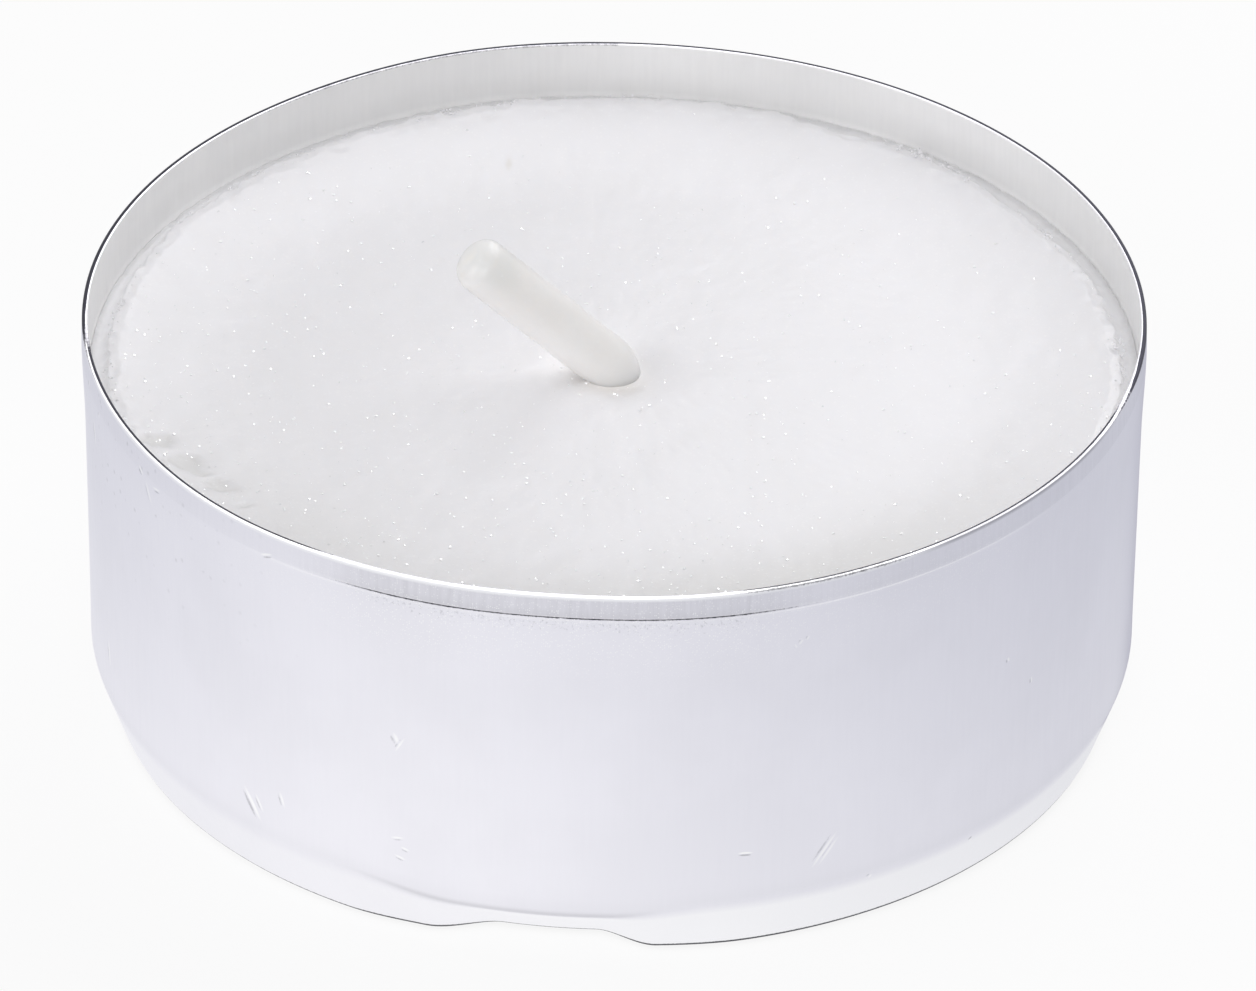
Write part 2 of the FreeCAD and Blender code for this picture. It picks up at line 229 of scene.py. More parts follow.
def rise(turn, start, full):
    """Rises softly from 0 at start to 1 at full, both in degrees; the turn is in radians."""
    return ease(math.radians(start), math.radians(full), turn)


def arc(turn, start, full, fade, end):
    """Rises from start to full and falls from fade to end, in degrees; the turn is in radians."""
    return rise(turn, start, full) * (1 - rise(turn, fade, end))


def noise_at(points, scale, seed):
    """Soft noise from about -1 to 1 at each point, scale points to the metre."""
    shift = Vector((seed, seed * 2, seed * 3))
    return np.array([noise.noise(Vector(point) * scale + shift) for point in points])


def layered_noise(points, *layers):
    """Adds up layers of noise, each a strength, a scale and a seed."""
    return sum(strength * noise_at(points, scale, seed) for strength, scale, seed in layers)


def around_axis(radius, turn, height):
    """Turns radius, azimuth and height into points."""
    return np.stack([radius * np.sin(turn), -radius * np.cos(turn), height], axis=-1)


def turns(columns):
    """Azimuths from the front, -Y, towards +X, once round."""
    return np.linspace(-math.pi, math.pi, columns, endpoint=False)


def rounded_profile(corners):
    """Turns corners (radius, height, bend, step of the next stretch) into a path of points."""
    bend_points = 5
    places = [np.array(corner[:2]) for corner in corners]
    path = [places[0]]
    steps = [corners[0][3]]
    for index in range(1, len(corners) - 1):
        corner, bend, step = places[index], corners[index][2], corners[index][3]
        into = corner - places[index - 1]
        out = places[index + 1] - corner
        into = into / np.linalg.norm(into)
        out = out / np.linalg.norm(out)
        half_turn = math.acos(np.clip(into @ out, -1, 1)) / 2
        reach = bend * math.tan(half_turn)
        for share in np.linspace(0, 1, bend_points):
            start = corner + (share - 1) * reach * into
            end = corner + share * reach * out
            path.append(start + (end - start) * share)
            steps.append(math.inf)
        steps[-1] = step
    path.append(places[-1])
    filled = [path[0]]
    for start, end, step in zip(path, path[1:], steps):
        parts = max(1, round(np.linalg.norm(end - start) / step))
        filled += [start + (end - start) * part / parts for part in range(1, parts + 1)]
    return np.array(filled)


def skin(name, rings, first, last, marks=None):
    """Makes a closed smooth mesh from rings of points between two poles."""
    rows, columns = rings.shape[:2]
    points = np.vstack([[first], rings.reshape(-1, 3), [last]])
    row, column = np.meshgrid(np.arange(rows - 1), np.arange(columns), indexing="ij")
    here = 1 + row * columns + column
    beside = 1 + row * columns + (column + 1) % columns
    quads = np.stack([here, beside, beside + columns, here + columns], axis=-1).reshape(-1, 4)
    around = np.arange(columns)
    onward = (around + 1) % columns
    top = 1 + (rows - 1) * columns
    start_fan = np.stack([np.zeros_like(around), 1 + onward, 1 + around], axis=-1)
    end_fan = np.stack([np.full_like(around, len(points) - 1), top + around, top + onward], axis=-1)
    mesh = bpy.data.meshes.new(name)
    mesh.from_pydata(points.tolist(), [], quads.tolist() + start_fan.tolist() + end_fan.tolist())
    mesh.shade_smooth()
    for mark, values in (marks or {}).items():
        layer = mesh.attributes.new(mark, "FLOAT", "POINT")
        flat = np.concatenate([values[0, :1], values.reshape(-1), values[-1, :1]])
        layer.data.foreach_set("value", flat.astype(np.float32))
    return mesh


def add_piece(mesh, material, slot, *nodes):
    """Puts a mesh in the scene as a piece that rides with the candle and stands for nodes."""
    piece = bpy.data.objects.new(mesh.name, mesh)
    bpy.context.scene.collection.objects.link(piece)
    piece.data.materials.append(material)
    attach(piece, "root")
    if nodes:
        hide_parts(*nodes)
    return piece


# Shader nodes

def add_node(tree, kind, inputs=None, **settings):
    """Adds a node, and links or sets its inputs by name or number."""
    made = tree.nodes.new(kind)
    for name, value in settings.items():
        setattr(made, name, value)
    for name, value in (inputs or {}).items():
        if isinstance(value, bpy.types.NodeSocket):
            tree.links.new(value, made.inputs[name])
        else:
            made.inputs[name].default_value = value
    return made


def maths(tree, operation, *values):
    inputs = dict(enumerate(values))
    return add_node(tree, "ShaderNodeMath", inputs, operation=operation).outputs[0]


def times(tree, one, other):
    return maths(tree, "MULTIPLY", one, other)


def highest(tree, *values):
    """Takes the highest of several values."""
    most = values[0]
    for value in values[1:]:
        most = maths(tree, "MAXIMUM", most, value)
    return most


def clamp(tree, value):
    return add_node(tree, "ShaderNodeClamp", {0: value}).outputs[0]


def share_between(tree, value, start, full, **settings):
    """Goes from 0 at start to 1 at full."""
    return add_node(tree, "ShaderNodeMapRange", {
        "Value": value, "From Min": start, "From Max": full}, **settings).outputs[0]


def blend(tree, share, one, other):
    """Mixes two colours."""
    made = add_node(tree, "ShaderNodeMix", data_type="RGBA")
    for socket, value in ((made.inputs[0], share), (made.inputs[6], one), (made.inputs[7], other)):
        if isinstance(value, bpy.types.NodeSocket):
            tree.links.new(value, socket)
        else:
            socket.default_value = value
    return made.outputs[2]


def mark_value(tree, name):
    """Reads one of the piece's painted marks."""
    return add_node(tree, "ShaderNodeAttribute", attribute_name=name).outputs["Fac"]


def place(tree):
    return add_node(tree, "ShaderNodeTexCoord").outputs["Object"]


def place_parts(tree):
    """Gives X, Y and Z of the place one by one."""
    return add_node(tree, "ShaderNodeSeparateXYZ", {0: place(tree)}).outputs


def new_group(name, inputs, outputs):
    """Starts a shader node group with these sockets, each a name and its default."""
    tree = bpy.data.node_groups.new(name, "ShaderNodeTree")
    for label, value in inputs.items():
        kind = "NodeSocketColor" if isinstance(value, tuple) else "NodeSocketFloat"
        socket = tree.interface.new_socket(name=label, in_out="INPUT", socket_type=kind)
        socket.default_value = value
    for label in outputs:
        tree.interface.new_socket(name=label, in_out="OUTPUT", socket_type="NodeSocketFloat")
    return tree, tree.nodes.new("NodeGroupInput"), tree.nodes.new("NodeGroupOutput")


def marks_group():
    """Marks drawn out along the Z axis, as the die leaves them."""
    tree, given, result = new_group(
        "Drawn marks", {"Across": 4000.0, "Along": 300.0, "Contrast": 1.0}, ["Marks"])
    spread = add_node(tree, "ShaderNodeCombineXYZ", {
        0: given.outputs["Across"], 1: given.outputs["Across"], 2: given.outputs["Along"]})
    stretched = add_node(tree, "ShaderNodeVectorMath", {
        0: place(tree), 1: spread.outputs[0]}, operation="MULTIPLY")
    texture = add_node(tree, "ShaderNodeTexNoise", {
        "Vector": stretched.outputs[0], "Scale": 1.0, "Detail": 3.0, "Roughness": 0.6})
    centred = maths(tree, "SUBTRACT", texture.outputs["Fac"], 0.5)
    strong = times(tree, centred, given.outputs["Contrast"])
    tree.links.new(maths(tree, "ADD", strong, 0.5), result.inputs["Marks"])
    return tree


def clouds_group():
    """Soft uneven patches."""
    tree, given, result = new_group(
        "Clouds", {"Scale": 200.0, "Low": 0.35, "High": 0.65}, ["Clouds"])
    texture = add_node(tree, "ShaderNodeTexNoise", {
        "Vector": place(tree), "Scale": given.outputs["Scale"], "Detail": 4.0, "Roughness": 0.55})
    ranged = share_between(tree, texture.outputs["Fac"], given.outputs["Low"], given.outputs["High"],
                           interpolation_type="SMOOTHSTEP")
    tree.links.new(ranged, result.inputs["Clouds"])
    return tree


def specks_group():
    """Small separate specks; a higher share leaves more of them."""
    tree, given, result = new_group("Specks", {"Scale": 9000.0, "Share": 0.3}, ["Specks"])
    texture = add_node(tree, "ShaderNodeTexVoronoi", {
        "Vector": place(tree), "Scale": given.outputs["Scale"]})
    core = share_between(tree, texture.outputs["Distance"], 0.45, 0.1)
    pick = add_node(tree, "ShaderNodeSeparateColor", {0: texture.outputs["Color"]})
    kept = maths(tree, "LESS_THAN", pick.outputs[0], given.outputs["Share"])
    tree.links.new(times(tree, core, kept), result.inputs["Specks"])
    return tree


def broken_group():
    """Breaks a painted mark up, so that it looks rubbed and uneven."""
    tree, given, result = new_group(
        "Broken", {"Mark": 0.0, "Scale": 5000.0, "Breaks": 0.6}, ["Mark"])
    texture = add_node(tree, "ShaderNodeTexNoise", {
        "Vector": place(tree), "Scale": given.outputs["Scale"], "Detail": 3.0, "Roughness": 0.65})
    worn = times(tree, texture.outputs["Fac"], given.outputs["Breaks"])
    left = maths(tree, "SUBTRACT", given.outputs["Mark"], worn)
    tree.links.new(clamp(tree, times(tree, left, 2.0)), result.inputs["Mark"])
    return tree


def stroke_group():
    """One rub on the wall: above 0 where it is dark, and below 0 on the painted highlight under it."""
    tree, given, result = new_group("Stroke", {
        "Turn": 0.0, "Height": 0.0, "Length": 0.001, "Width": 0.0002, "Lean": 0.0}, ["Stroke"])
    # Painted highlight: the bright side of each rub
    bright_shift = -1.8  # sets the bright side 1.8 half widths beside the dark one
    spot = place_parts(tree)
    turn = maths(tree, "ARCTAN2", spot["X"], times(tree, spot["Y"], -1.0))
    across = times(tree, maths(tree, "SUBTRACT", turn, given.outputs["Turn"]), CUP_HIGH.x)
    along = maths(tree, "SUBTRACT", spot["Z"], given.outputs["Height"])
    lean = add_node(tree, "ShaderNodeVectorRotate", {
        "Vector": add_node(tree, "ShaderNodeCombineXYZ", {0: across, 1: along}).outputs[0],
        "Angle": times(tree, given.outputs["Lean"], -1.0)}, rotation_type="Z_AXIS")
    leaned = add_node(tree, "ShaderNodeSeparateXYZ", {0: lean.outputs[0]}).outputs
    down = maths(tree, "POWER", maths(tree, "DIVIDE", leaned["Y"], given.outputs["Length"]), 2.0)
    side = maths(tree, "DIVIDE", leaned["X"], given.outputs["Width"])
    dark = maths(tree, "ADD", down, maths(tree, "POWER", side, 2.0))
    bright = maths(tree, "ADD", down, maths(tree, "POWER", maths(tree, "ADD", side, bright_shift), 2.0))
    parts = [clamp(tree, maths(tree, "SUBTRACT", 1.0, part)) for part in (dark, bright)]
    tree.links.new(maths(tree, "SUBTRACT", *parts), result.inputs["Stroke"])
    return tree


GROUP_MAKERS = {
    "Stroke": stroke_group,
    "Drawn marks": marks_group,
    "Clouds": clouds_group,
    "Specks": specks_group,
    "Broken": broken_group,
}


def effect(tree, name, **inputs):
    """Places a shared effect, made the first time that it is needed."""
    group = bpy.data.node_groups.get(name) or GROUP_MAKERS[name]()
    made = add_node(tree, "ShaderNodeGroup", node_tree=group)
    for label, value in inputs.items():
        if isinstance(value, bpy.types.NodeSocket):
            tree.links.new(value, made.inputs[label])
        else:
            made.inputs[label].default_value = value
    return made.outputs[0]


def new_material(name, **constants):
    """Starts a material and sets its shader's constant values."""
    material = bpy.data.materials.new(name)
    material.use_nodes = True
    shader = material.node_tree.nodes["Principled BSDF"]
    for label, value in constants.items():
        shader.inputs[label.replace("_", " ")].default_value = value
    return material, material.node_tree, shader


def feed(tree, shader, **links):
    for label, socket in links.items():
        tree.links.new(socket, shader.inputs[label.replace("_", " ")])


def bumps(tree, height, strength, depth):
    return add_node(tree, "ShaderNodeBump", {
        "Height": height, "Strength": strength, "Distance": depth}).outputs[0]


def opaque(value, tone=1.0):
    """Makes a shader colour, darker or brighter by the tone."""
    return (*(min(1.0, tone * part) for part in value), 1.0)


BLACK, WHITE = opaque((0, 0, 0)), opaque((1, 1, 1))


def rubs(tree):
    """Adds up the wall's scuffs, each dark with a painted highlight beside it."""
    total = 0.0
    for degrees, height, length, width, lean, strength in SCUFFS:
        stroke = effect(tree, "Stroke", Turn=math.radians(degrees), Height=height * MM,
                        Length=length * MM, Width=width * MM, Lean=math.radians(lean))
        total = maths(tree, "MULTIPLY_ADD", stroke, strength, total)
    return total


def metal_tone(tree, settings, marks, clouds, inside):
    """Colours the bright sheet: uneven tone, drawing marks, flecks, painted shade and painted glints."""
    grain = effect(tree, "Specks", Scale=14000.0, Share=0.35)
    flecked = effect(tree, "Specks", Scale=3900.0, Share=0.09)
    # A darker and a brighter copy of the metal: the darker gives uneven tone, drawing marks and painted
    # shade, the brighter painted glints
    darker_metal, shine = opaque(settings.metal, 0.55), opaque(settings.metal, 1.16)
    bright = blend(tree, inside, opaque(settings.metal), opaque(settings.lining))
    toned = blend(tree, times(tree, clouds, 0.07), bright, darker_metal)
    faint = times(tree, marks, maths(tree, "MULTIPLY_ADD", inside, 0.08, 0.03))
    # The band mark paints the band under the rim darker (painted shade), partly evenly and partly through its
    # drawing marks
    strong = times(tree, mark_value(tree, "band"), maths(tree, "MULTIPLY_ADD", marks, 0.36, 0.12))
    streaked = blend(tree, maths(tree, "ADD", faint, strong), toned, darker_metal)
    flecks = times(tree, times(tree, flecked, mark_value(tree, "flecks")), 0.4)
    shaded = blend(tree, highest(tree, flecks, mark_value(tree, "shade")), streaked, darker_metal)
    return blend(tree, times(tree, grain, mark_value(tree, "painted_glints")), shaded, shine)


def wear_and_painted_light(tree, settings, tone):
    """Lays the painted highlights on the lip, the foot and the step, the rubs with a painted highlight beside
    each, the painted dark reflections and contact shade, and the painted shade in the scored groove over the
    sheet's tone.
    """
    scuffs = rubs(tree)
    # Painted dark reflections on the lip, painted contact shade at the foot and dark speckles; painted shade
    # in the scored groove
    dark_specks_and_painted_shade = effect(tree, "Broken", Mark=mark_value(tree, "dark_specks_and_painted_shade"), Scale=9000.0, Breaks=0.8)
    score = effect(tree, "Broken", Mark=mark_value(tree, "score"), Scale=9000.0, Breaks=0.8)
    scuff = effect(tree, "Broken", Mark=scuffs, Scale=12000.0, Breaks=0.7)
    painted_step_highlight = effect(tree, "Broken", Mark=mark_value(tree, "painted_step_highlight"), Scale=8000.0, Breaks=0.9)
    painted_rub_highlight = clamp(tree, times(tree, scuffs, -1.0))
    painted_highlights = highest(tree, painted_step_highlight, mark_value(tree, "edge"), painted_rub_highlight)
    lit = blend(tree, painted_highlights, tone, opaque(settings.metal, 1.16))
    painted_shade_specks_and_scuffs = highest(tree, dark_specks_and_painted_shade, score, times(tree, scuff, 0.34))
    return blend(tree, painted_shade_specks_and_scuffs, lit, opaque(settings.worn))


def paint_wall_glow(tree, settings, inside):
    """Paints a soft glow (emission) on the inside of the wall just at the level of the wax, standing in for
    light that comes through the wax.
    """
    near_wax = share_between(tree, place_parts(tree)["Z"], WAX_HIGH.z - 0.05 * MM,
                             WAX_HIGH.z - 0.35 * MM, interpolation_type="SMOOTHSTEP")
    return blend(tree, times(tree, near_wax, inside), BLACK, opaque(settings.painted_wall_glow))


def aluminium(settings):
    """Drawn sheet: bright metal with fine upright marks and scuffs, painted highlights and glints, painted
    dark reflections on the lip, painted shade in the scored groove and at the foot, and a painted glow at the
    wax level.
    """
    material, tree, shader = new_material("Drawn aluminium", Metallic=1.0, Emission_Strength=1.0)
    marks = effect(tree, "Drawn marks", Across=5200.0, Along=420.0, Contrast=1.4)
    clouds = effect(tree, "Clouds", Scale=160.0)
    inside = mark_value(tree, "inside")
    tone = metal_tone(tree, settings, marks, clouds, inside)
    height = maths(tree, "MULTIPLY_ADD", marks, 0.6, times(tree, clouds, 0.3))
    feed(tree, shader, Base_Color=wear_and_painted_light(tree, settings, tone),
         Roughness=maths(tree, "MULTIPLY_ADD", marks, 0.16, 0.30),
         Metallic=maths(tree, "MULTIPLY_ADD", inside, -0.65, 1.0),
         # Painted glow on the inner wall at the wax level
         Emission_Color=paint_wall_glow(tree, settings, inside),
         Normal=bumps(tree, height, 0.12, 0.02 * MM))
    return material


def wax_material(settings, name, softness):
    """Pressed paraffin: soft and slightly clear, with a frosted grain, painted shade in the valley of the top
    and a painted glow on its sides.
    """
    material, tree, shader = new_material(
        name, Subsurface_Weight=softness, Subsurface_Scale=0.8 * MM,
        Subsurface_Radius=(1.0, 0.95, 0.9), Roughness=0.3, Emission_Strength=1.0)
    clouds = effect(tree, "Clouds", Scale=350.0)
    frost = effect(tree, "Specks", Scale=7000.0, Share=0.25)
    clear = opaque(settings.clear)
    tinted = blend(tree, times(tree, clouds, 0.12), opaque(settings.wax), clear)
    cleared = blend(tree, mark_value(tree, "clear"), tinted, clear)
    stained = blend(tree, mark_value(tree, "stain"), cleared, opaque(settings.stain))
    frosted = blend(tree, times(tree, frost, 0.35), stained, opaque(settings.frost))
    lumps = effect(tree, "Clouds", Scale=2600.0, Low=0.3, High=0.7)
    height = maths(tree, "MULTIPLY_ADD", frost, 0.4, lumps)
    # Painted glow on the sides, where the shelf mark is set
    glow = blend(tree, mark_value(tree, "shelf"), BLACK, opaque(settings.glow))
    feed(tree, shader, Base_Color=frosted, Emission_Color=glow, Normal=bumps(tree, height, 0.12, 0.03 * MM))
    return material


def crystal_material():
    """Clean facets of wax that throw the light back like small mirrors."""
    material, tree, shader = new_material("Wax crystal", Roughness=0.15, Metallic=0.9)
    clouds = effect(tree, "Clouds", Scale=900.0)
    feed(tree, shader, Base_Color=blend(tree, clouds, WHITE, opaque((0.93, 0.95, 0.96))))
    return material


def coat_material(settings):
    """Clear warm wax that has soaked the wick, with a painted dark outline at its edges."""
    material, tree, shader = new_material(
        "Wick wax", Subsurface_Weight=1.0, Subsurface_Scale=1.8 * MM,
        Subsurface_Radius=(1.0, 0.95, 0.9), Roughness=0.32, Coat_Weight=0.15)
    clouds = effect(tree, "Clouds", Scale=900.0)
    marks = effect(tree, "Specks", Scale=5000.0, Share=0.12)
    facing = add_node(tree, "ShaderNodeLayerWeight", {"Blend": 0.35}).outputs["Facing"]
    # edge: a darker copy of the coat, for the painted dark outline where the wick is seen edge-on
    pale, edge = opaque(settings.coat, 1.05), opaque(settings.coat, 0.55)
    mottled = blend(tree, times(tree, clouds, 0.5), opaque(settings.coat), pale)
    cleared = blend(tree, mark_value(tree, "clear"), mottled, opaque(settings.clear))
    warmed = blend(tree, mark_value(tree, "core"), cleared, opaque(settings.cotton))
    frosted = blend(tree, times(tree, marks, 0.25), warmed, opaque((0.95, 0.95, 0.94)))
    # Painted shade: the coat darkens towards its edges as seen from the camera
    painted_edge_shade = times(tree, maths(tree, "POWER", facing, 5.0), mark_value(tree, "painted_edge_shade"))
    edge_shaded = blend(tree, painted_edge_shade, frosted, edge)
    feed(tree, shader, Base_Color=edge_shaded, Normal=bumps(tree, clouds, 0.2, 0.04 * MM))
    return material


def cotton_material(settings):
    """Twisted cotton, soaked pale."""
    material, tree, shader = new_material("Cotton", Roughness=0.75, Sheen_Weight=0.3)
    fibres = effect(tree, "Drawn marks", Across=16000.0, Along=4000.0, Contrast=1.3)
    feed(tree, shader, Base_Color=blend(tree, fibres, opaque(settings.cotton), opaque(settings.cotton, 0.8)),
         Normal=bumps(tree, fibres, 0.4, 0.02 * MM))
    return material


def tin_material():
    """Bright tinned steel with a fine rolled grain."""
    material, tree, shader = new_material("Tinned steel", Metallic=1.0)
    marks = effect(tree, "Drawn marks", Across=6000.0, Along=900.0, Contrast=1.0)
    clouds = effect(tree, "Clouds", Scale=400.0)
    tone = blend(tree, clouds, opaque((0.62, 0.62, 0.63)), opaque((0.54, 0.54, 0.56)))
    feed(tree, shader, Base_Color=tone, Roughness=maths(tree, "MULTIPLY_ADD", marks, 0.2, 0.22),
         Normal=bumps(tree, marks, 0.15, 0.02 * MM))
    return material


# The cup

def cup_profile(cup):
    """Gives the cup's section, from the middle of the base round the rim to the floor."""
    rim = CUP_HIGH.x
    top = CUP_HIGH.z
    band = rim - cup.band_step
    crease = band - cup.wall_taper
    foot = crease - cup.foot_setback
    ring = foot - cup.ring_width
    panel = ring - cup.panel_slope
    band_base = top - cup.band_height
    sheet = cup.sheet
    tight, open_bend, lip = 0.2 * MM, 0.4 * MM, 0.05 * MM
    coarse, middling, fine, finest = 3.0 * MM, 1.1 * MM, 0.25 * MM, 0.03 * MM
    score_top = band_base + 0.12 * MM
    score_base = band_base - cup.band_slope - 0.1 * MM
    wall_at_score = band - cup.wall_taper * 0.02
    outside = [
        (0.0, cup.panel_rise, 0.0, coarse),
        (panel, cup.panel_rise, tight, fine),
        (ring, 0.0, open_bend, 0.5 * MM),
        (foot, 0.0, open_bend, fine),
        (crease, cup.foot_height, cup.crease_bend, 0.4 * MM),
        (wall_at_score, score_base, lip, finest),
        (band, band_base - cup.band_slope, lip, finest),
        (rim, band_base, lip, finest),
        (rim, score_top, lip, 0.12 * MM),
        (rim - cup.band_lean, top, lip, sheet / 8),
    ]
    inside = [
        (rim - cup.band_lean - sheet, top, lip, sheet / 4),
        (rim - cup.band_lean - sheet - 0.002 * MM, top - 0.16 * MM, lip, middling),
        (crease - sheet, cup.foot_height, cup.crease_bend, middling),
        (foot - sheet, sheet, tight, middling),
        (ring + sheet / 2, sheet, tight, middling),
        (panel + sheet / 2, cup.panel_rise + sheet, open_bend, coarse),
        (0.0, cup.panel_rise + sheet, 0.0, coarse),
    ]
    return rounded_profile(outside + inside)


def dent_share(dent, turn):
    """How much of the dent's depth is reached at each azimuth."""
    left = ease(dent.left_foot, dent.left_top, turn)
    right = 1 - ease(dent.right_top, dent.right_foot, turn)
    return left * right


def shoulder_share(turn):
    """How much the sheet beside the dent is drawn in."""
    return arc(turn, -31, -20, 2, 16)


def score_share(turn):
    """How deep the scored line under the band is at each azimuth."""
    front = arc(turn, -37, -24, 12, 24)
    right = arc(turn, 0, 10, 44, 52)
    return 0.85 * front + 0.3 * right * (1 - front)


def band_share(turn):
    """How far the band stands clear of the wall at each azimuth."""
    return arc(turn, -48, -26, 40, 60)


RIM_BENDS = (
    # turn in degrees, how far the rim is bent out in millimetres, and half width in degrees
    (-45.0, 0.13, 16.04),
    (-5.0, -0.17, 12.61),
    (-163.0, 0.16, 14.32),
    (197.0, 0.16, 14.32),
)


def out_of_round(height, turn):
    """How far the bent rim and the wall under it stand out at each place."""
    bend = sum(out * bell(turn, math.radians(middle), math.radians(half))
               for middle, out, half in RIM_BENDS)
    return bend * MM * ease(4 * MM, CUP_HIGH.z, height)


WAVES = (
    # waves round the cup, their strength, where they start and how they lean with each millimetre up
    (7, 1.0, 0.6, 0.21),
    (13, 0.7, 2.1, 0.0),
    (23, 0.5, 4.4, -0.33),
)


def press_cup(cup, dent, radius, height, turn):
    """Dents the foot, pulls the crease down, bends the rim and ripples the wall."""
    crease = cup.foot_height
    shelf = 0.25 * MM
    below = np.clip(1 - height / (crease - shelf), 0, 1)
    under = 1 - ease(crease - 2 * shelf, crease, height)
    outward = ease(CUP_HIGH.x - 4.2 * MM, CUP_HIGH.x - 1.8 * MM, radius)
    share = dent_share(dent, turn)
    inward = (dent.depth - dent.ledge) * share * below + dent.ledge * share * under
    inward = inward + dent.shoulder * shoulder_share(turn) * (1 - share) * below
    sag = dent.sag * arc(turn, -30, -17, 0, 12) * bell(height, crease, 0.9 * MM)
    on_wall = ease(1.2 * MM, 3.5 * MM, height) * (1 - ease(14.0 * MM, 14.4 * MM, height))
    wave = cup.ripple * on_wall * sum(
        strength * np.sin(waves * turn + start + height / MM * lean)
        for waves, strength, start, lean in WAVES)
    band_base = CUP_HIGH.z - cup.band_height
    score = cup.groove * bell(height, band_base + 0.03 * MM, 0.035 * MM) * score_share(turn)
    under_band = np.clip((band_base - height) / cup.band_slope, 0, 1) * (
        1 - ease(0, 3 * MM, band_base - height))
    on_upper_wall = radius > CUP_HIGH.x - 0.3 * MM
    fill = cup.band_step * (1 - band_share(turn)) * under_band * on_upper_wall
    bead = cup.bead * bell(height, crease + 0.35 * MM, 0.3 * MM)
    radius = radius - inward * outward + out_of_round(height, turn) + wave - score + fill + bead * outward
    return radius, np.maximum(height - sag * outward, 0)


SCUFFS = (
    # turn, height, half length, half width and lean, in degrees and millimetres, and strength
    (-42.8, 3.4, 0.75, 0.10, 35.0, 0.9),
    (-41.6, 3.6, 0.40, 0.06, 30.0, 0.7),
    (-38.4, 4.2, 0.35, 0.07, 20.0, 0.7),
    (-23.9, 8.4, 0.30, 0.09, 25.0, 0.7),
    (-23.3, 8.3, 0.40, 0.05, -30.0, 0.6),
    (-23.4, 4.2, 0.28, 0.05, 100.0, 0.7),
    (-22.6, 3.8, 0.20, 0.05, 75.0, 0.7),
    (-23.2, 3.4, 0.25, 0.05, 75.0, 0.7),
    (14.8, 4.3, 0.30, 0.05, 85.0, 1.2),
    (23.5, 4.0, 0.85, 0.08, -36.0, 0.75),
    (24.1, 3.9, 0.70, 0.06, -36.0, 0.6),
    (20.4, 13.0, 0.14, 0.05, -40.0, 0.6),
    (21.2, 13.1, 0.12, 0.04, -30.0, 0.6),
    (19.8, 12.8, 0.12, 0.04, 20.0, 0.5),
    (-76.8, 13.0, 0.60, 0.10, 5.0, 0.7),
    (-59.6, 13.8, 0.50, 0.08, 25.0, 0.6),
    (-73.4, 4.4, 0.60, 0.10, 10.0, 0.6),
    (47.8, 9.0, 0.12, 0.06, 20.0, 0.8),
    (52.0, 7.5, 0.16, 0.05, 5.0, 0.8),
    (43.4, 2.1, 0.14, 0.09, -60.0, 0.9),
    (29.3, 2.3, 0.12, 0.08, -40.0, 0.7),
    (-39.2, 14.4, 0.30, 0.06, 110.0, 0.9),
    (-61.1, 14.4, 0.22, 0.07, 50.0, 0.9),
    (-57.4, 14.2, 0.28, 0.06, 100.0, 0.8),
    (-79.0, 14.6, 0.16, 0.07, 20.0, 0.9),
    (-74.0, 14.3, 0.14, 0.06, -10.0, 0.8),
    (-81.0, 13.7, 0.20, 0.06, 30.0, 0.7),
)


def lip_painted_light(cup, radius, height, turn):
    """Gives painted dark reflections as lines on the lip's two corners, dark speckles, and the painted
    highlight and the painted grey shade on the sheet between them.
    """
    rim, top = CUP_HIGH.x - cup.band_lean, CUP_HIGH.z
    fade = 0.02 * MM
    near_top = ease(top - 0.09 * MM, top - 0.05 * MM, height)
    thin_top = ease(top - 0.05 * MM, top - 0.015 * MM, height)
    back = np.maximum(rise(turn, 62, 85), rise(-turn, 72, 95))
    left = 1 - rise(turn, -42, -22)
    right = arc(turn, 10, 18, 68, 82)
    plain = arc(turn, 30, 40, 62, 76)
    far_right = arc(turn, 85, 110, 150, 180)
    speckled = 0.55 * (1 - rise(turn, -150, -100))
    outer_start = rim - fade - 0.13 * MM * back
    outer = (near_top * back + thin_top * (1 - back)) * ease(outer_start, outer_start + fade, radius)
    inner_end = rim - (0.11 - 0.04 * left - 0.02 * right) * MM
    inner = near_top * (1 - ease(inner_end - fade, inner_end, radius))
    # Painted dark reflections: dark lines along the lip's outer and inner corners
    outer_painted_dark = outer * np.maximum(1.5 * back, 0.6 + 0.5 * right) * (1 - plain)
    inner_painted_dark = 1.4 * inner * (1 - back) * np.maximum(left, right)
    lip_dark_speckles = near_top * np.maximum(0.62 * right * (1 - plain), speckled)
    middle = near_top * (1 - outer) * (1 - inner)
    # Painted highlight across the lip's top; painted grey shade on the plain stretch and at the inner corner
    bright = middle * (1 - plain) * (1 - 0.5 * far_right)
    painted_grey_shade = near_top * (1 - inner) * plain + 0.3 * middle * far_right
    painted_grey_shade = painted_grey_shade + 0.8 * inner * (1 - np.maximum(left, right)) * (1 - back)
    return np.maximum(outer_painted_dark + inner_painted_dark, lip_dark_speckles), bright, painted_grey_shade


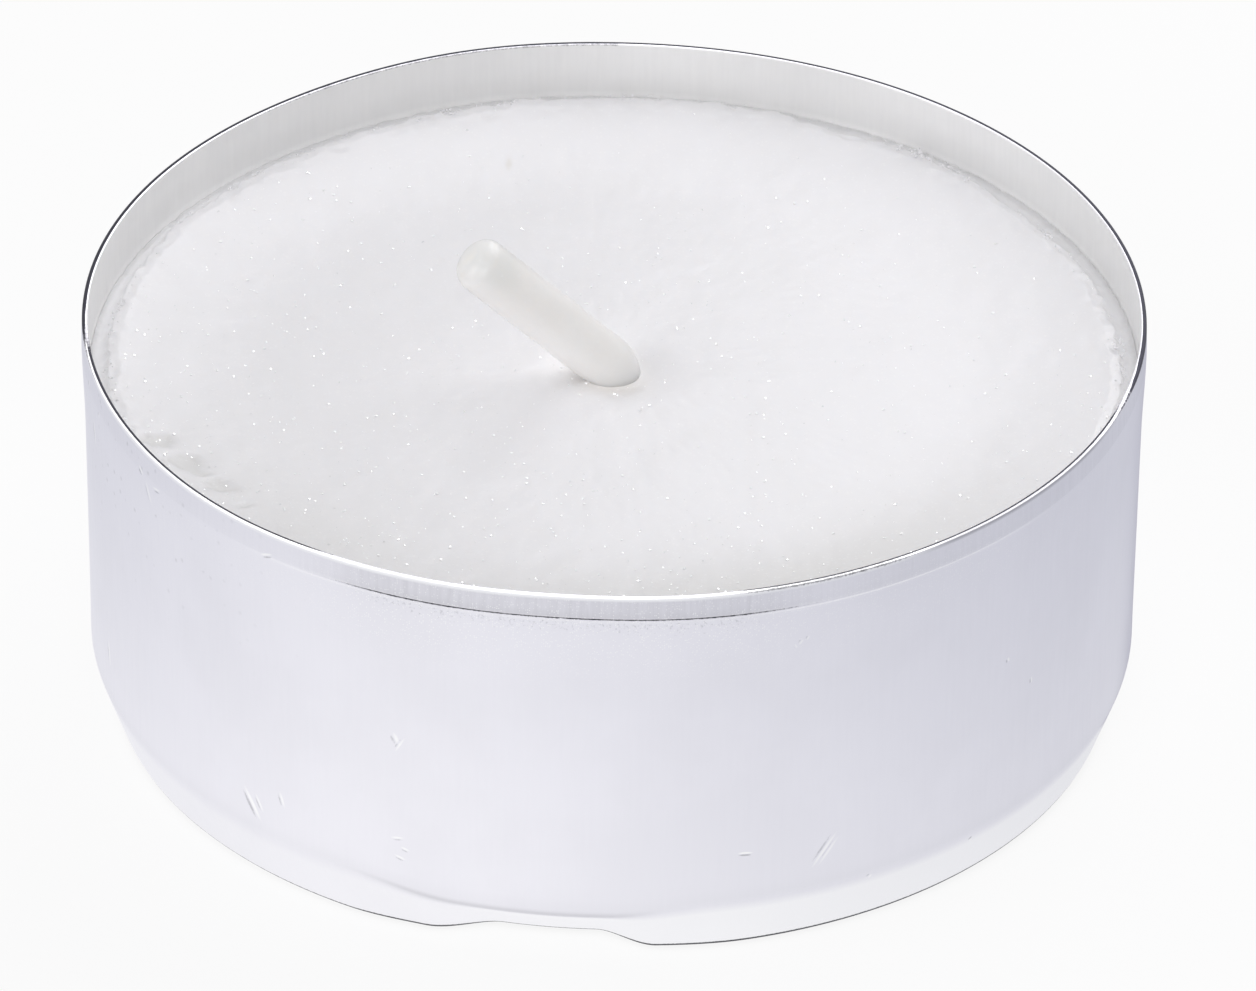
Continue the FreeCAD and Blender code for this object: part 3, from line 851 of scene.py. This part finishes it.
def cup_marks(cup, radius, height, turn, inner):
    """Paints the cup's marks: painted shade in the scored groove, painted dark reflections on the lip,
    painted contact shade at the foot, painted shade bands, painted highlights and glints, flecks and drawing
    marks.
    """
    crease = cup.foot_height
    foot = CUP_HIGH.x - cup.band_step - cup.wall_taper - cup.foot_setback
    band_base = CUP_HIGH.z - cup.band_height
    outer = 1.0 - inner
    lip_painted_dark, lip, painted_grey_shade = lip_painted_light(cup, radius, height, turn)
    scored = score_share(turn)
    beside = np.maximum(arc(turn, -38, -20, 8, 30), 0.25 * rise(turn, 10, 30))
    # Painted shade: a dark line along the real scored groove under the band
    score = 1.15 * outer * bell(height, band_base + 0.03 * MM, 0.04 * MM) * scored
    # Painted contact shade: a dark line on the foot's bend next to the floor
    painted_contact_shade = outer * (1 - ease(0.14 * MM, 0.27 * MM, height)) * ease(
        foot - 0.2 * MM, foot - 0.08 * MM, radius) * (0.85 + 0.7 * rise(turn, -35, -22))
    specks = 0.48 * outer * scored * bell(height, band_base - 0.35 * MM, 0.5 * MM) * (height < band_base)
    crease_shade = 0.07 * bell(height, crease + 0.2 * MM, 0.3 * MM)
    fold_shade = 0.45 * arc(turn, -32, -19, -2, 7) * bell(height, crease - 0.05 * MM, 0.12 * MM)
    band_shade = 0.22 * band_share(turn) * beside * bell(height, band_base + 0.1 * MM, 0.2 * MM)
    # Painted shade: the band under the rim is drawn darker, through its drawing marks
    band = outer * ease(band_base - 0.02 * MM, band_base + 0.03 * MM, height) * (0.15 + 0.85 * beside)
    # Painted highlight along the sloped step under the band
    step = outer * bell(height, band_base - 0.07 * MM, 0.06 * MM) * band_share(turn)
    # Where painted glints are strewn on the wall under the band
    glint_zone = outer * bell(height, band_base - 0.5 * MM, 1.6 * MM) * (0.25 + 0.75 * scored)
    # Painted highlight: the foot below the crease is drawn brighter
    painted_foot_highlight = (0.2 + 0.5 * rise(turn, -40, 20)) * outer * (
        1 - ease(crease - 0.6 * MM, crease - 0.15 * MM, height)) * (radius > foot)
    return {
        "score": score,
        # Painted dark reflections on the lip, painted contact shade at the foot and dark speckles under the
        # band
        "dark_specks_and_painted_shade": np.maximum(np.maximum(lip_painted_dark, painted_contact_shade), specks),
        "band": band * (1 - lip),
        "painted_glints": np.maximum(glint_zone, step),
        # Painted highlights on the lip's top and the foot, and a little along the step
        "edge": np.maximum(lip, painted_foot_highlight + 0.1 * step),
        "shade": np.maximum(outer * (crease_shade + fold_shade + band_shade), painted_grey_shade),
        "inside": inner * (1 - lip),
        "flecks": outer * bell(turn, math.radians(-64), math.radians(20)) * ease(8 * MM, 12.5 * MM, height),
        "painted_step_highlight": step * (0.45 + 0.3 * rise(turn, 8, 28)),
    }


class TEALIGHT_OT_cup(bpy.types.Operator):
    """Makes the dented, drawn aluminium cup"""

    bl_idname = "tea_light.make_cup"
    bl_label = "Make cup"

    def execute(self, context):
        cup, dent = context.scene.tea_light_cup, context.scene.tea_light_dent
        profile = cup_profile(cup)
        lip = int(np.argmax(profile[:, 1]))
        lip_rows = 6  # rows that lie on the lip itself
        radius, turn = np.meshgrid(profile[1:-1, 0], turns(cup.columns), indexing="ij")
        height = np.meshgrid(profile[1:-1, 1], turns(cup.columns), indexing="ij")[0]
        inner = np.broadcast_to((np.arange(1, len(profile) - 1) > lip + lip_rows)[:, None], radius.shape)
        marks = cup_marks(cup, radius, height, turn, inner.astype(float))
        radius, height = press_cup(cup, dent, radius, height, turn)
        rings = around_axis(radius, turn, height)
        rings[..., :2] = np.clip(rings[..., :2], CUP_LOW.xy, CUP_HIGH.xy)
        mesh = skin("cup_drawn", rings, (0, 0, profile[0, 1]), (0, 0, profile[-1, 1]), marks)
        add_piece(mesh, aluminium(cup), "aluminium_cup", "cup")
        return {"FINISHED"}


# The wax

def wick_line(wick):
    """Gives points along the wick's middle, each with its way on, and the side that it bends to."""
    start = Vector((0, 0, WAX_LOW.z))
    dome_top = WAX_HIGH.z - bpy.context.scene.tea_light_wax.dome_drop
    knee = Vector((0, 0, dome_top - wick.bend_depth))
    side = Vector((math.cos(wick.turn), math.sin(wick.turn), 0))
    bend = wick.coat_radius + wick.bend_inside
    line = [(start.lerp(knee, share), UP) for share in np.linspace(0, 1, 12)[:-1]]
    for lean in np.linspace(0, wick.lean, 14):
        way = UP * math.cos(lean) + side * math.sin(lean)
        line.append((knee + bend * (side * (1 - math.cos(lean)) + UP * math.sin(lean)), way))
    neck, way = line[-1]
    line += [(neck + way * wick.tail * share, way) for share in np.linspace(0, 1, 60)[1:]]
    return line, side


def from_wick(wick, points):
    """Gives each point's distance from the wick's middle line."""
    line = np.array([middle for middle, _ in wick_line(wick)[0]])
    nearest = np.full(len(points), np.inf)
    for start, end in zip(line, line[1:]):
        way = end - start
        share = np.clip((points - start) @ way / (way @ way), 0, 1)
        gap = np.linalg.norm(points - start - share[:, None] * way, axis=1)
        nearest = np.minimum(nearest, gap)
    return nearest


def tablet_height(wax, radius):
    """Gives the height of the tablet's top: dome, valley and border."""
    dome = WAX_HIGH.z - wax.dome_drop - radius ** 2 / (2 * wax.dome_radius)
    edge = wax.dome_reach
    start = WAX_HIGH.z - wax.dome_drop - edge ** 2 / (2 * wax.dome_radius)
    slope = -edge / wax.dome_radius
    width = WAX_HIGH.x - wax.border - edge
    curve = (WAX_HIGH.z - start - slope * width) / width ** 2
    along = np.clip(radius - edge, 0, width)
    valley = start + slope * along + curve * along ** 2
    return np.where(radius < edge, dome, valley)


CRUMBS = (
    # turn in degrees, and how far it spreads, how high it stands and how large it is
    (-167.5, 5.0, 0.12, 0.10),
    (-160.0, 5.0, 0.05, 0.08),
    (179.6, 4.0, 0.10, 0.09),
    (168.0, 5.0, 0.04, 0.07),
    (142.7, 3.5, 0.22, 0.13),
    (137.0, 2.5, 0.10, 0.10),
    (120.0, 3.0, 0.05, 0.08),
    (94.3, 2.0, 0.20, 0.12),
    (88.0, 3.0, 0.06, 0.08),
    (-100.0, 5.0, 0.04, 0.07),
    (-60.0, 4.0, 0.05, 0.09),
)

CHIPS = (
    # place across and along, and radius, in millimetres
    (-16.0, -5.5, 0.4),
    (-15.05, -6.85, 0.6),
    (-14.6, -7.4, 0.3),
    (-13.95, -8.2, 0.5),
    (-13.0, -9.5, 0.2),
)


NICKS = (
    # turn and half width in degrees, and depth in millimetres
    (154, 5, 0.25),
    (125, 12, 0.24),
    (101, 3, 0.12),
)

STAINS = (
    # place across and along and half width across and along, in millimetres, and strength
    (0.15, -1.1, 1.0, 0.9, 0.8),
    (-3.9, 14.2, 0.1, 0.3, 1.0),
)

SIDE_ROWS = (
    # depth under the border and unevenness, in millimetres, and share of the way out to the wall
    (0.12, 0.08, 0.08),
    (0.24, 0.08, 0.25),
    (0.3, 0.1, 0.6),
    (0.3, 0.12, 1.0),
    (0.7, 0.0, 1.0),
    (1.1, 0.0, 0.0),
    (5.0, 0.0, 0.0),
    (10.5, 0.0, 0.0),
)


def edge_recess(turn):
    """How far the tablet's ragged rim stands back from its full radius."""
    behind = 1 - bell(np.abs(turn), math.pi, math.radians(22))
    nicks = sum(depth * bell(turn, math.radians(middle), math.radians(half)) for middle, half, depth in NICKS)
    return (0.05 + 0.13 * behind + nicks) * MM


def chipped(flat, rough, frayed):
    """How much of the chips' depth is reached at each place."""
    chip = np.zeros_like(rough)
    for across, along, size in CHIPS:
        gap = np.hypot(flat[..., 0] / MM - across, flat[..., 1] / MM - along)
        gap = gap * (1 + 0.9 * rough) + 0.35 * size * frayed
        chip = np.maximum(chip, 1 - ease(size * 0.6, size, gap))
    return chip


def wax_top(wax, flat, radius, turn):
    """Gives the lumpy, chipped top as points, the factor that makes its rim ragged, and its chips."""
    cells, shape = flat.reshape(-1, 3), radius.shape
    rough = layered_noise(cells, (0.6, 260, 3.1), (0.5, 900, 7.7), (0.35, 2600, 1.3)).reshape(shape)
    ragged = layered_noise(flat[-1], (0.6, 500, 5.5), (1.0, 1700, 9.2), (0.7, 4200, 2.2))
    pits = np.abs(noise_at(cells, 1500, 4.4)).reshape(shape)
    chip = chipped(flat, rough, noise_at(cells, 3400, 8.6).reshape(shape))
    near_edge = ease(WAX_HIGH.x - 1.3 * MM, WAX_HIGH.x, radius)
    height = tablet_height(wax, radius) + wax.grit * rough * (1 + near_edge)
    height = height - 0.12 * MM * near_edge * pits - 0.09 * MM * chip
    top = np.dstack([flat[..., 0], flat[..., 1], height])
    shift = 1 + (wax.rag * ragged - edge_recess(turn)) / WAX_HIGH.x * near_edge
    return top, shift, chip


def wick_dip(wick, flat):
    """How much of the dip's depth is reached at each place round the wick's foot."""
    middle_x, middle_y, reach = 0.1 * MM, -0.15 * MM, 0.9 * MM
    gap = np.hypot(flat[..., 0] - middle_x, flat[..., 1] - middle_y)
    return np.exp(-((np.maximum(gap - wick.coat_radius, 0) / reach) ** 1.5))


def wax_sides(wax, border, flat_border, turn):
    """Gives the rings from the ragged border over the packed shelf and down to the underside."""
    crest = np.linalg.norm(border[:, :2], axis=1)
    sides = []
    for depth, uneven, reach in SIDE_ROWS:
        row = border.copy()
        teeth = np.abs(layered_noise(flat_border, (1.0, 3000, 3.3 + reach), (0.6, 900, 6.1)))
        row[:, 2] = WAX_HIGH.z - (depth + uneven * teeth) * MM
        level = crest + (wax.shoulder - crest + out_of_round(row[:, 2], turn)) * reach
        row[:, :2] *= (level / crest)[:, None]
        sides.append(row)
    foot = wax.foot_radius
    for radius, height in ((WAX_HIGH.x, 2.7 * MM), (foot, WAX_LOW.z), (foot * 0.5, WAX_LOW.z)):
        sides.append(around_axis(radius, turn, np.full_like(turn, height)))
    return np.array(sides)


def wax_rings(wax, wick):
    """Gives the tablet's rings of points and their marks."""
    edge = WAX_HIGH.x
    radii = np.concatenate([
        np.linspace(0.12, 3.6, 26) * MM, np.linspace(3.8, 17.0, 64) * MM,
        np.linspace(17.12 * MM, edge - 0.04 * MM, 14)])
    turn = turns(wax.columns)
    radius, around = np.meshgrid(radii, turn, indexing="ij")
    flat = around_axis(radius, around, np.zeros_like(radius))
    top, shift, chip = wax_top(wax, flat, radius, turn)
    from_coat = from_wick(wick, top.reshape(-1, 3)).reshape(radius.shape) - wick.coat_radius
    top[..., 2] -= wax.dip * wick_dip(wick, flat)
    top[..., :2] *= shift[..., None]
    top[..., 2] = np.minimum(top[..., 2], WAX_HIGH.z + 0.05 * MM)
    # Painted shade: the valley at the front and the front left is drawn in the clearer, greyer wax colour
    valley = bell(radius, 15.5 * MM, 2.5 * MM) * np.maximum(
        bell(around, math.radians(20), math.radians(40)),
        0.6 * bell(around, math.radians(-42), math.radians(20)))
    at_wick = 0.8 * np.exp(-np.maximum(from_coat, 0) / (0.55 * MM))
    clear = np.maximum(at_wick, np.maximum(0.9 * chip, valley))
    stain = np.maximum.reduce([
        strength * bell(flat[..., 0], x * MM, across * MM) * bell(flat[..., 1], y * MM, along * MM)
        for x, y, across, along, strength in STAINS])
    sides = wax_sides(wax, top[-1], flat[-1], turn)
    blank = np.zeros((len(sides), wax.columns))
    marks = {"clear": np.concatenate([clear, blank]), "stain": np.concatenate([stain, blank]),
             # shelf marks the sides, which take the painted glow
             "shelf": np.concatenate([np.zeros_like(clear), blank + 1])}
    return np.concatenate([top, sides]), marks


FACET_CORNERS = np.array([(1, 0, 0), (-1, 0, 0), (0, 1, 0), (0, -1, 0), (0, 0, 1), (0, 0, -1)], float)
FACET_FACES = np.array([(0, 2, 4), (2, 1, 4), (1, 3, 4), (3, 0, 4),
                        (2, 0, 5), (1, 2, 5), (3, 1, 5), (0, 3, 5)])


def flake(size, flatness, dice):
    """Gives the points and faces of one closed, uneven flake of wax."""
    spin = Matrix.Rotation(dice.uniform(0, FULL_TURN), 3, "Z") @ Matrix.Rotation(
        dice.normal(0, 0.7), 3, "X")
    stretch = np.array([1.0, dice.uniform(0.4, 1.0), flatness])
    corners = FACET_CORNERS * (0.7 + 0.6 * dice.uniform(size=(6, 1)))
    return size * (corners * stretch) @ np.array(spin).T, FACET_FACES


def join_lumps(name, lumps):
    """Joins closed lumps into one mesh."""
    points = np.vstack([part[0] for part in lumps])
    starts = np.cumsum([0] + [len(part[0]) for part in lumps[:-1]])
    faces = np.vstack([part[1] + start for part, start in zip(lumps, starts)])
    mesh = bpy.data.meshes.new(name)
    mesh.from_pydata(points.tolist(), [], faces.tolist())
    return mesh


def crumb_lumps(dice):
    """Lays crumbs along the tablet's ragged edge, thicker at the listed places."""
    loose, heaped = 500, 16
    places = [(dice.uniform(-180, 180), dice.uniform(-0.3, 0.5), 0.06) for _ in range(loose)]
    for degrees, spread, stand, size in CRUMBS:
        places += [(degrees + dice.normal(0, spread / 2), dice.uniform(-0.4, 1.0) * stand / 0.1, size)
                   for _ in range(heaped)]
    lumps = []
    for degrees, stand, size in places:
        turn = math.radians(degrees)
        radius = WAX_HIGH.x - float(edge_recess(turn)) - dice.uniform(-0.12, 0.25) * MM
        points, faces = flake(size * dice.uniform(0.4, 1.0) * MM, dice.uniform(0.4, 0.9), dice)
        middle = np.array([radius * math.sin(turn), -radius * math.cos(turn),
                           WAX_HIGH.z + (0.1 * stand - 0.04) * MM])
        lumps.append((points + middle, faces))
    return lumps


def crystal_lumps(wax, dice):
    """Scatters small facets over the tablet's top, denser at the front and the left."""
    lumps = []
    while len(lumps) < wax.crystals:
        x, y = dice.uniform(-1, 1, 2)
        radius = math.hypot(x, y)
        turn = math.atan2(x, -y)
        if radius > 1 - (float(edge_recess(turn)) + 0.15 * MM) / WAX_HIGH.x:
            continue
        near_border = max(0.0, radius - 0.86) * max(0.0, 0.3 - y)
        chance = 0.26 - 0.22 * y - 0.12 * x + 3.0 * near_border
        if dice.uniform() > chance:
            continue
        points, faces = flake((0.02 + 0.055 * dice.uniform() ** 3) * MM, dice.uniform(0.3, 0.8), dice)
        x, y = x * WAX_HIGH.x, y * WAX_HIGH.x
        level = float(tablet_height(wax, np.array(math.hypot(x, y))))
        lumps.append((points + (x, y, level + 0.02 * MM), faces))
    return lumps


class TEALIGHT_OT_wax(bpy.types.Operator):
    """Makes the pressed wax tablet, its crumbs and its crystals"""

    bl_idname = "tea_light.make_wax"
    bl_label = "Make wax"

    def execute(self, context):
        wax, wick = context.scene.tea_light_wax, context.scene.tea_light_wick
        dice = np.random.default_rng(11)
        rings, marks = wax_rings(wax, wick)
        material = wax_material(wax, "Pressed wax", 0.5)
        crumbled = wax_material(wax, "Wax crumbs", 0.0)
        top = (0, 0, rings[0, :, 2].mean())
        mesh = skin("wax_tablet", rings[::-1], (0, 0, WAX_LOW.z), top,
                    {name: values[::-1] for name, values in marks.items()})
        add_piece(mesh, material, "paraffin_wax", "wax")
        add_piece(join_lumps("wax_crumbs", crumb_lumps(dice)), crumbled, "paraffin_wax")
        add_piece(join_lumps("wax_crystals", crystal_lumps(wax, dice)), crystal_material(), "paraffin_wax")
        return {"FINISHED"}


# The wick

def no_wobble(middle, spoke):
    return 0.0


def tube_rings(line, side, radii, columns, wobble=no_wobble):
    """Sweeps rings of these radii along a line that bends towards a side."""
    across = UP.cross(side)
    rings = []
    for (middle, way), radius in zip(line, radii):
        inward = across.cross(way)
        ring = []
        for turn in np.linspace(0, FULL_TURN, columns, endpoint=False):
            spoke = inward * math.cos(turn) + across * math.sin(turn)
            ring.append(middle + spoke * radius * (1 + wobble(middle, spoke)))
        rings.append(ring)
    return np.array(rings)


def coat_line(wick):
    """Gives the coat's middle line and its radii, which close in to a rounded tip."""
    line, side = wick_line(wick)
    tip, way = line[-1]
    reach = wick.tip_bend
    body = [(middle, heading) for middle, heading in line if (tip - middle).length > reach]
    radii = [wick.coat_radius] * len(body)
    for share in np.linspace(0, 1, 10):
        turn = share * math.pi / 2
        body.append((tip - way * reach * (1 - math.sin(turn)), way))
        radii.append(wick.coat_radius - reach * (1 - math.cos(turn)))
    return body, side, radii


def coat_marks(wick, rings, tip, way, inward):
    """Paints the core's cream spot, the clear tip, and where the painted dark outline shows, mostly near the
    tip.
    """
    core = tip + inward * (wick.core_offset + 0.25 * MM) - way * 0.42 * MM
    from_core = np.linalg.norm(rings - np.array(core), axis=2)
    from_tip = (np.array(tip) - rings) @ np.array(way)
    upper = (rings - np.array(tip)) @ np.array(inward)
    clear = (1 - ease(0.9 * MM, 2.2 * MM, from_tip)) * (1 - ease(-0.2 * MM, 0.6 * MM, upper))
    # Where the painted dark outline shows: strongest near the tip, gone further down
    painted_edge_shade = (1.2 - 0.8 * ease(1.0 * MM, 3.0 * MM, from_tip)) * (1 - ease(3.5 * MM, 5.5 * MM, from_tip))
    return {"core": bell(from_core, 0, 0.42 * MM), "clear": clear, "painted_edge_shade": painted_edge_shade}


class TEALIGHT_OT_wick(bpy.types.Operator):
    """Makes the waxed wick and its twisted cotton core"""

    bl_idname = "tea_light.make_wick"
    bl_label = "Make wick"

    def execute(self, context):
        wick = context.scene.tea_light_wick
        body, side, radii = coat_line(wick)

        def wobble(middle, spoke):
            return 0.03 * noise.noise((middle + spoke * wick.coat_radius) * 900)

        rings = tube_rings(body, side, radii, 64, wobble)
        tip, way = body[-1]
        marks = coat_marks(wick, rings, tip, way, UP.cross(side).cross(way))
        mesh = skin("wick_wax_coat", rings, body[0][0], tip - way * 0.05 * MM, marks)
        coat = add_piece(mesh, coat_material(wick), "wick_wax", "wick_coat")
        coat.visible_shadow = False  # clear wax: the light goes through it
        self.make_core(wick, side)
        return {"FINISHED"}

    def make_core(self, wick, side):
        """Twists the cotton strands together; they end just under the coat's clear tip."""
        line = wick_line(wick)[0][:-2]
        columns = 10
        pitch = 3.0 * MM
        strand_radius = wick.core_radius * 0.42
        orbit = wick.core_radius - strand_radius
        across = UP.cross(side)
        strands = []
        for index in range(wick.strands):
            hub = index == wick.strands - 1
            path, length, before = [], 0.0, line[0][0]
            for middle, way in line:
                length += (middle - before).length
                before = middle
                turn = FULL_TURN * (index / (wick.strands - 1) + length / pitch)
                inward = across.cross(way)
                swing = (inward * math.cos(turn) + across * math.sin(turn)) * (0.0 if hub else orbit)
                path.append((middle + inward * wick.core_offset + swing, way))
            radii = [strand_radius] * len(path)
            rings = tube_rings(path, side, radii, columns)
            end, way = path[-1]
            strands.append((rings, path[0][0], end + way * 0.03 * MM))
        meshes = [skin(f"strand_{index}", *strand) for index, strand in enumerate(strands)]
        joined = bmesh.new()
        for mesh in meshes:
            joined.from_mesh(mesh)
            bpy.data.meshes.remove(mesh)
        mesh = bpy.data.meshes.new("wick_cotton_core")
        joined.to_mesh(mesh)
        joined.free()
        mesh.shade_smooth()
        add_piece(mesh, cotton_material(wick), "cotton_wick", "wick")


class TEALIGHT_OT_sustainer(bpy.types.Operator):
    """Gives the wick sustainer its tinned steel finish"""

    bl_idname = "tea_light.finish_sustainer"
    bl_label = "Finish sustainer"

    def execute(self, context):
        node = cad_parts["wick_sustainer"]
        node.data.materials.clear()
        node.data.materials.append(tin_material())
        return {"FINISHED"}


# The stage

def floor_material(stage):
    """White board; its glow is for the camera and for mirrors, and in mirrors it is a painted pool of light,
    brightest in front of the candle, with a painted shade behind the candle's right side.
    """
    material, tree, shader = new_material("Floor", Roughness=0.9, Specular_IOR_Level=0.0)
    clouds = effect(tree, "Clouds", Scale=30.0)
    white = opaque(stage.floor_colour)
    feed(tree, shader, Base_Color=blend(tree, times(tree, clouds, 0.02), white, opaque((0.85, 0.85, 0.85))))
    pool = add_node(tree, "ShaderNodeVectorMath", {
        0: place(tree), 1: (stage.pool_x, stage.pool_y, 0.0)}, operation="DISTANCE").outputs["Value"]
    dimmed = share_between(tree, pool, stage.pool_near, stage.pool_far)
    pooled = blend(tree, dimmed, WHITE, opaque(stage.dim_floor))
    spot = place_parts(tree)
    bearing = maths(tree, "ARCTAN2", maths(tree, "SUBTRACT", spot["X"], stage.shade_x),
                    maths(tree, "SUBTRACT", spot["Y"], stage.shade_y))
    shaded = share_between(tree, maths(tree, "ABSOLUTE", bearing), stage.shade_end, stage.shade_full)
    mirrored = blend(tree, shaded, pooled, opaque(stage.shade))
    path = add_node(tree, "ShaderNodeLightPath")
    glossy, camera = path.outputs["Is Glossy Ray"], path.outputs["Is Camera Ray"]
    glow = add_node(tree, "ShaderNodeEmission", {
        "Color": blend(tree, glossy, WHITE, mirrored), "Strength": 1.0})
    seen = highest(tree, camera, path.outputs["Is Transmission Ray"])
    share = highest(tree, times(tree, seen, stage.floor_glow), glossy)
    shown = add_node(tree, "ShaderNodeMixShader", {0: share, 1: shader.outputs[0], 2: glow.outputs[0]})
    tree.links.new(shown.outputs[0], tree.nodes["Material Output"].inputs["Surface"])
    return material


def make_floor(stage):
    shape = bmesh.new()
    bmesh.ops.create_circle(shape, cap_ends=True, segments=96, radius=stage.floor_radius)
    mesh = bpy.data.meshes.new("floor")
    shape.to_mesh(mesh)
    shape.free()
    floor = bpy.data.objects.new("floor", mesh)
    floor.location.z = -0.002 * MM
    mesh.materials.append(floor_material(stage))
    bpy.context.scene.collection.objects.link(floor)


def make_world(stage):
    """Soft white all round: white where it is seen, and dimmer as light."""
    world = bpy.data.worlds.new("Studio")
    world.use_nodes = True
    tree = world.node_tree
    background = tree.nodes["Background"]
    background.inputs["Color"].default_value = WHITE
    path = add_node(tree, "ShaderNodeLightPath")
    seen = highest(tree, *(path.outputs[f"Is {kind} Ray"] for kind in ("Camera", "Glossy", "Transmission")))
    strength = add_node(tree, "ShaderNodeMapRange", {
        "Value": seen, "To Min": stage.fill, "To Max": 1.0})
    tree.links.new(strength.outputs[0], background.inputs["Strength"])
    bpy.context.scene.world = world


LAMPS = (
    # name, place in metres, width, height, power in watts
    ("key_right_back", (0.07, 0.12, 0.17), 0.2, 0.2, 0.23),
    ("fill_left", (-0.62, -0.20, 0.25), 0.4, 0.4, 1.0),
    ("fill_front", (-0.10, -0.75, 0.38), 0.5, 0.4, 1.7),
)


def make_lamps(stage):
    middle = Vector((0, 0, stage.aim_height))
    for name, where, width, height, power in LAMPS:
        lamp = bpy.data.lights.new(name, "AREA")
        lamp.shape = "RECTANGLE"
        lamp.size, lamp.size_y = width, height
        lamp.energy = power
        lamp.color = stage.lamp_colour
        holder = bpy.data.objects.new(name, lamp)
        holder.location = where
        holder.rotation_euler = (middle - Vector(where)).to_track_quat("-Z", "Y").to_euler()
        holder.visible_camera = False
        bpy.context.scene.collection.objects.link(holder)


def make_camera(stage):
    """Stands the camera where the photograph was taken from."""
    tilt, roll = stage.elevation, stage.roll
    ahead = Vector((0, math.cos(tilt), -math.sin(tilt)))
    right = Vector((1, 0, 0))
    up = right.cross(ahead)
    across = right * math.cos(roll) + up * math.sin(roll)
    upward = up * math.cos(roll) - right * math.sin(roll)
    middle = Vector((0, 0, stage.aim_height)) + across * stage.aim_right + upward * stage.aim_up
    camera = bpy.data.objects.new("camera", bpy.data.cameras.new("camera"))
    camera.data.sensor_width = stage.sensor
    camera.data.lens = stage.lens
    turned = Matrix((across, upward, -ahead)).transposed().to_4x4()
    camera.matrix_world = Matrix.Translation(middle - ahead * stage.camera_distance) @ turned
    bpy.context.scene.collection.objects.link(camera)
    bpy.context.scene.camera = camera


class TEALIGHT_OT_stage(bpy.types.Operator):
    """Sets the floor, world, lamps and camera"""

    bl_idname = "tea_light.set_stage"
    bl_label = "Set stage"

    def execute(self, context):
        stage = context.scene.tea_light_stage
        context.scene.view_settings.view_transform = "Standard"
        make_world(stage)
        make_floor(stage)
        make_lamps(stage)
        make_camera(stage)
        return {"FINISHED"}


class TEALIGHT_PT_parts(bpy.types.Panel):
    """Lists the candle's pieces and their settings"""

    bl_idname = "TEALIGHT_PT_parts"
    bl_label = "Tea Light Candle"
    bl_space_type = "VIEW_3D"
    bl_region_type = "UI"
    bl_category = "Tea Light"

    def draw(self, context):
        for operator in OPERATORS:
            self.layout.operator(operator.bl_idname)
        for name, group in SETTINGS.items():
            box = self.layout.box()
            box.label(text=group.__doc__)
            for setting in group.__annotations__:
                box.prop(getattr(context.scene, name), setting)


OPERATORS = (TEALIGHT_OT_cup, TEALIGHT_OT_wax, TEALIGHT_OT_wick, TEALIGHT_OT_sustainer,
             TEALIGHT_OT_stage)


def register():
    for name, group in SETTINGS.items():
        bpy.utils.register_class(group)
        setattr(bpy.types.Scene, name, bpy.props.PointerProperty(type=group))
    for operator in OPERATORS:
        bpy.utils.register_class(operator)
    bpy.utils.register_class(TEALIGHT_PT_parts)


def unregister():
    bpy.utils.unregister_class(TEALIGHT_PT_parts)
    for operator in reversed(OPERATORS):
        bpy.utils.unregister_class(operator)
    for name, group in reversed(SETTINGS.items()):
        delattr(bpy.types.Scene, name)
        bpy.utils.unregister_class(group)


def main():
    register()
    bpy.ops.tea_light.set_stage()
    bpy.ops.tea_light.make_cup()
    bpy.ops.tea_light.make_wax()
    bpy.ops.tea_light.make_wick()
    bpy.ops.tea_light.finish_sustainer()


if __name__ == "__main__":
    main()
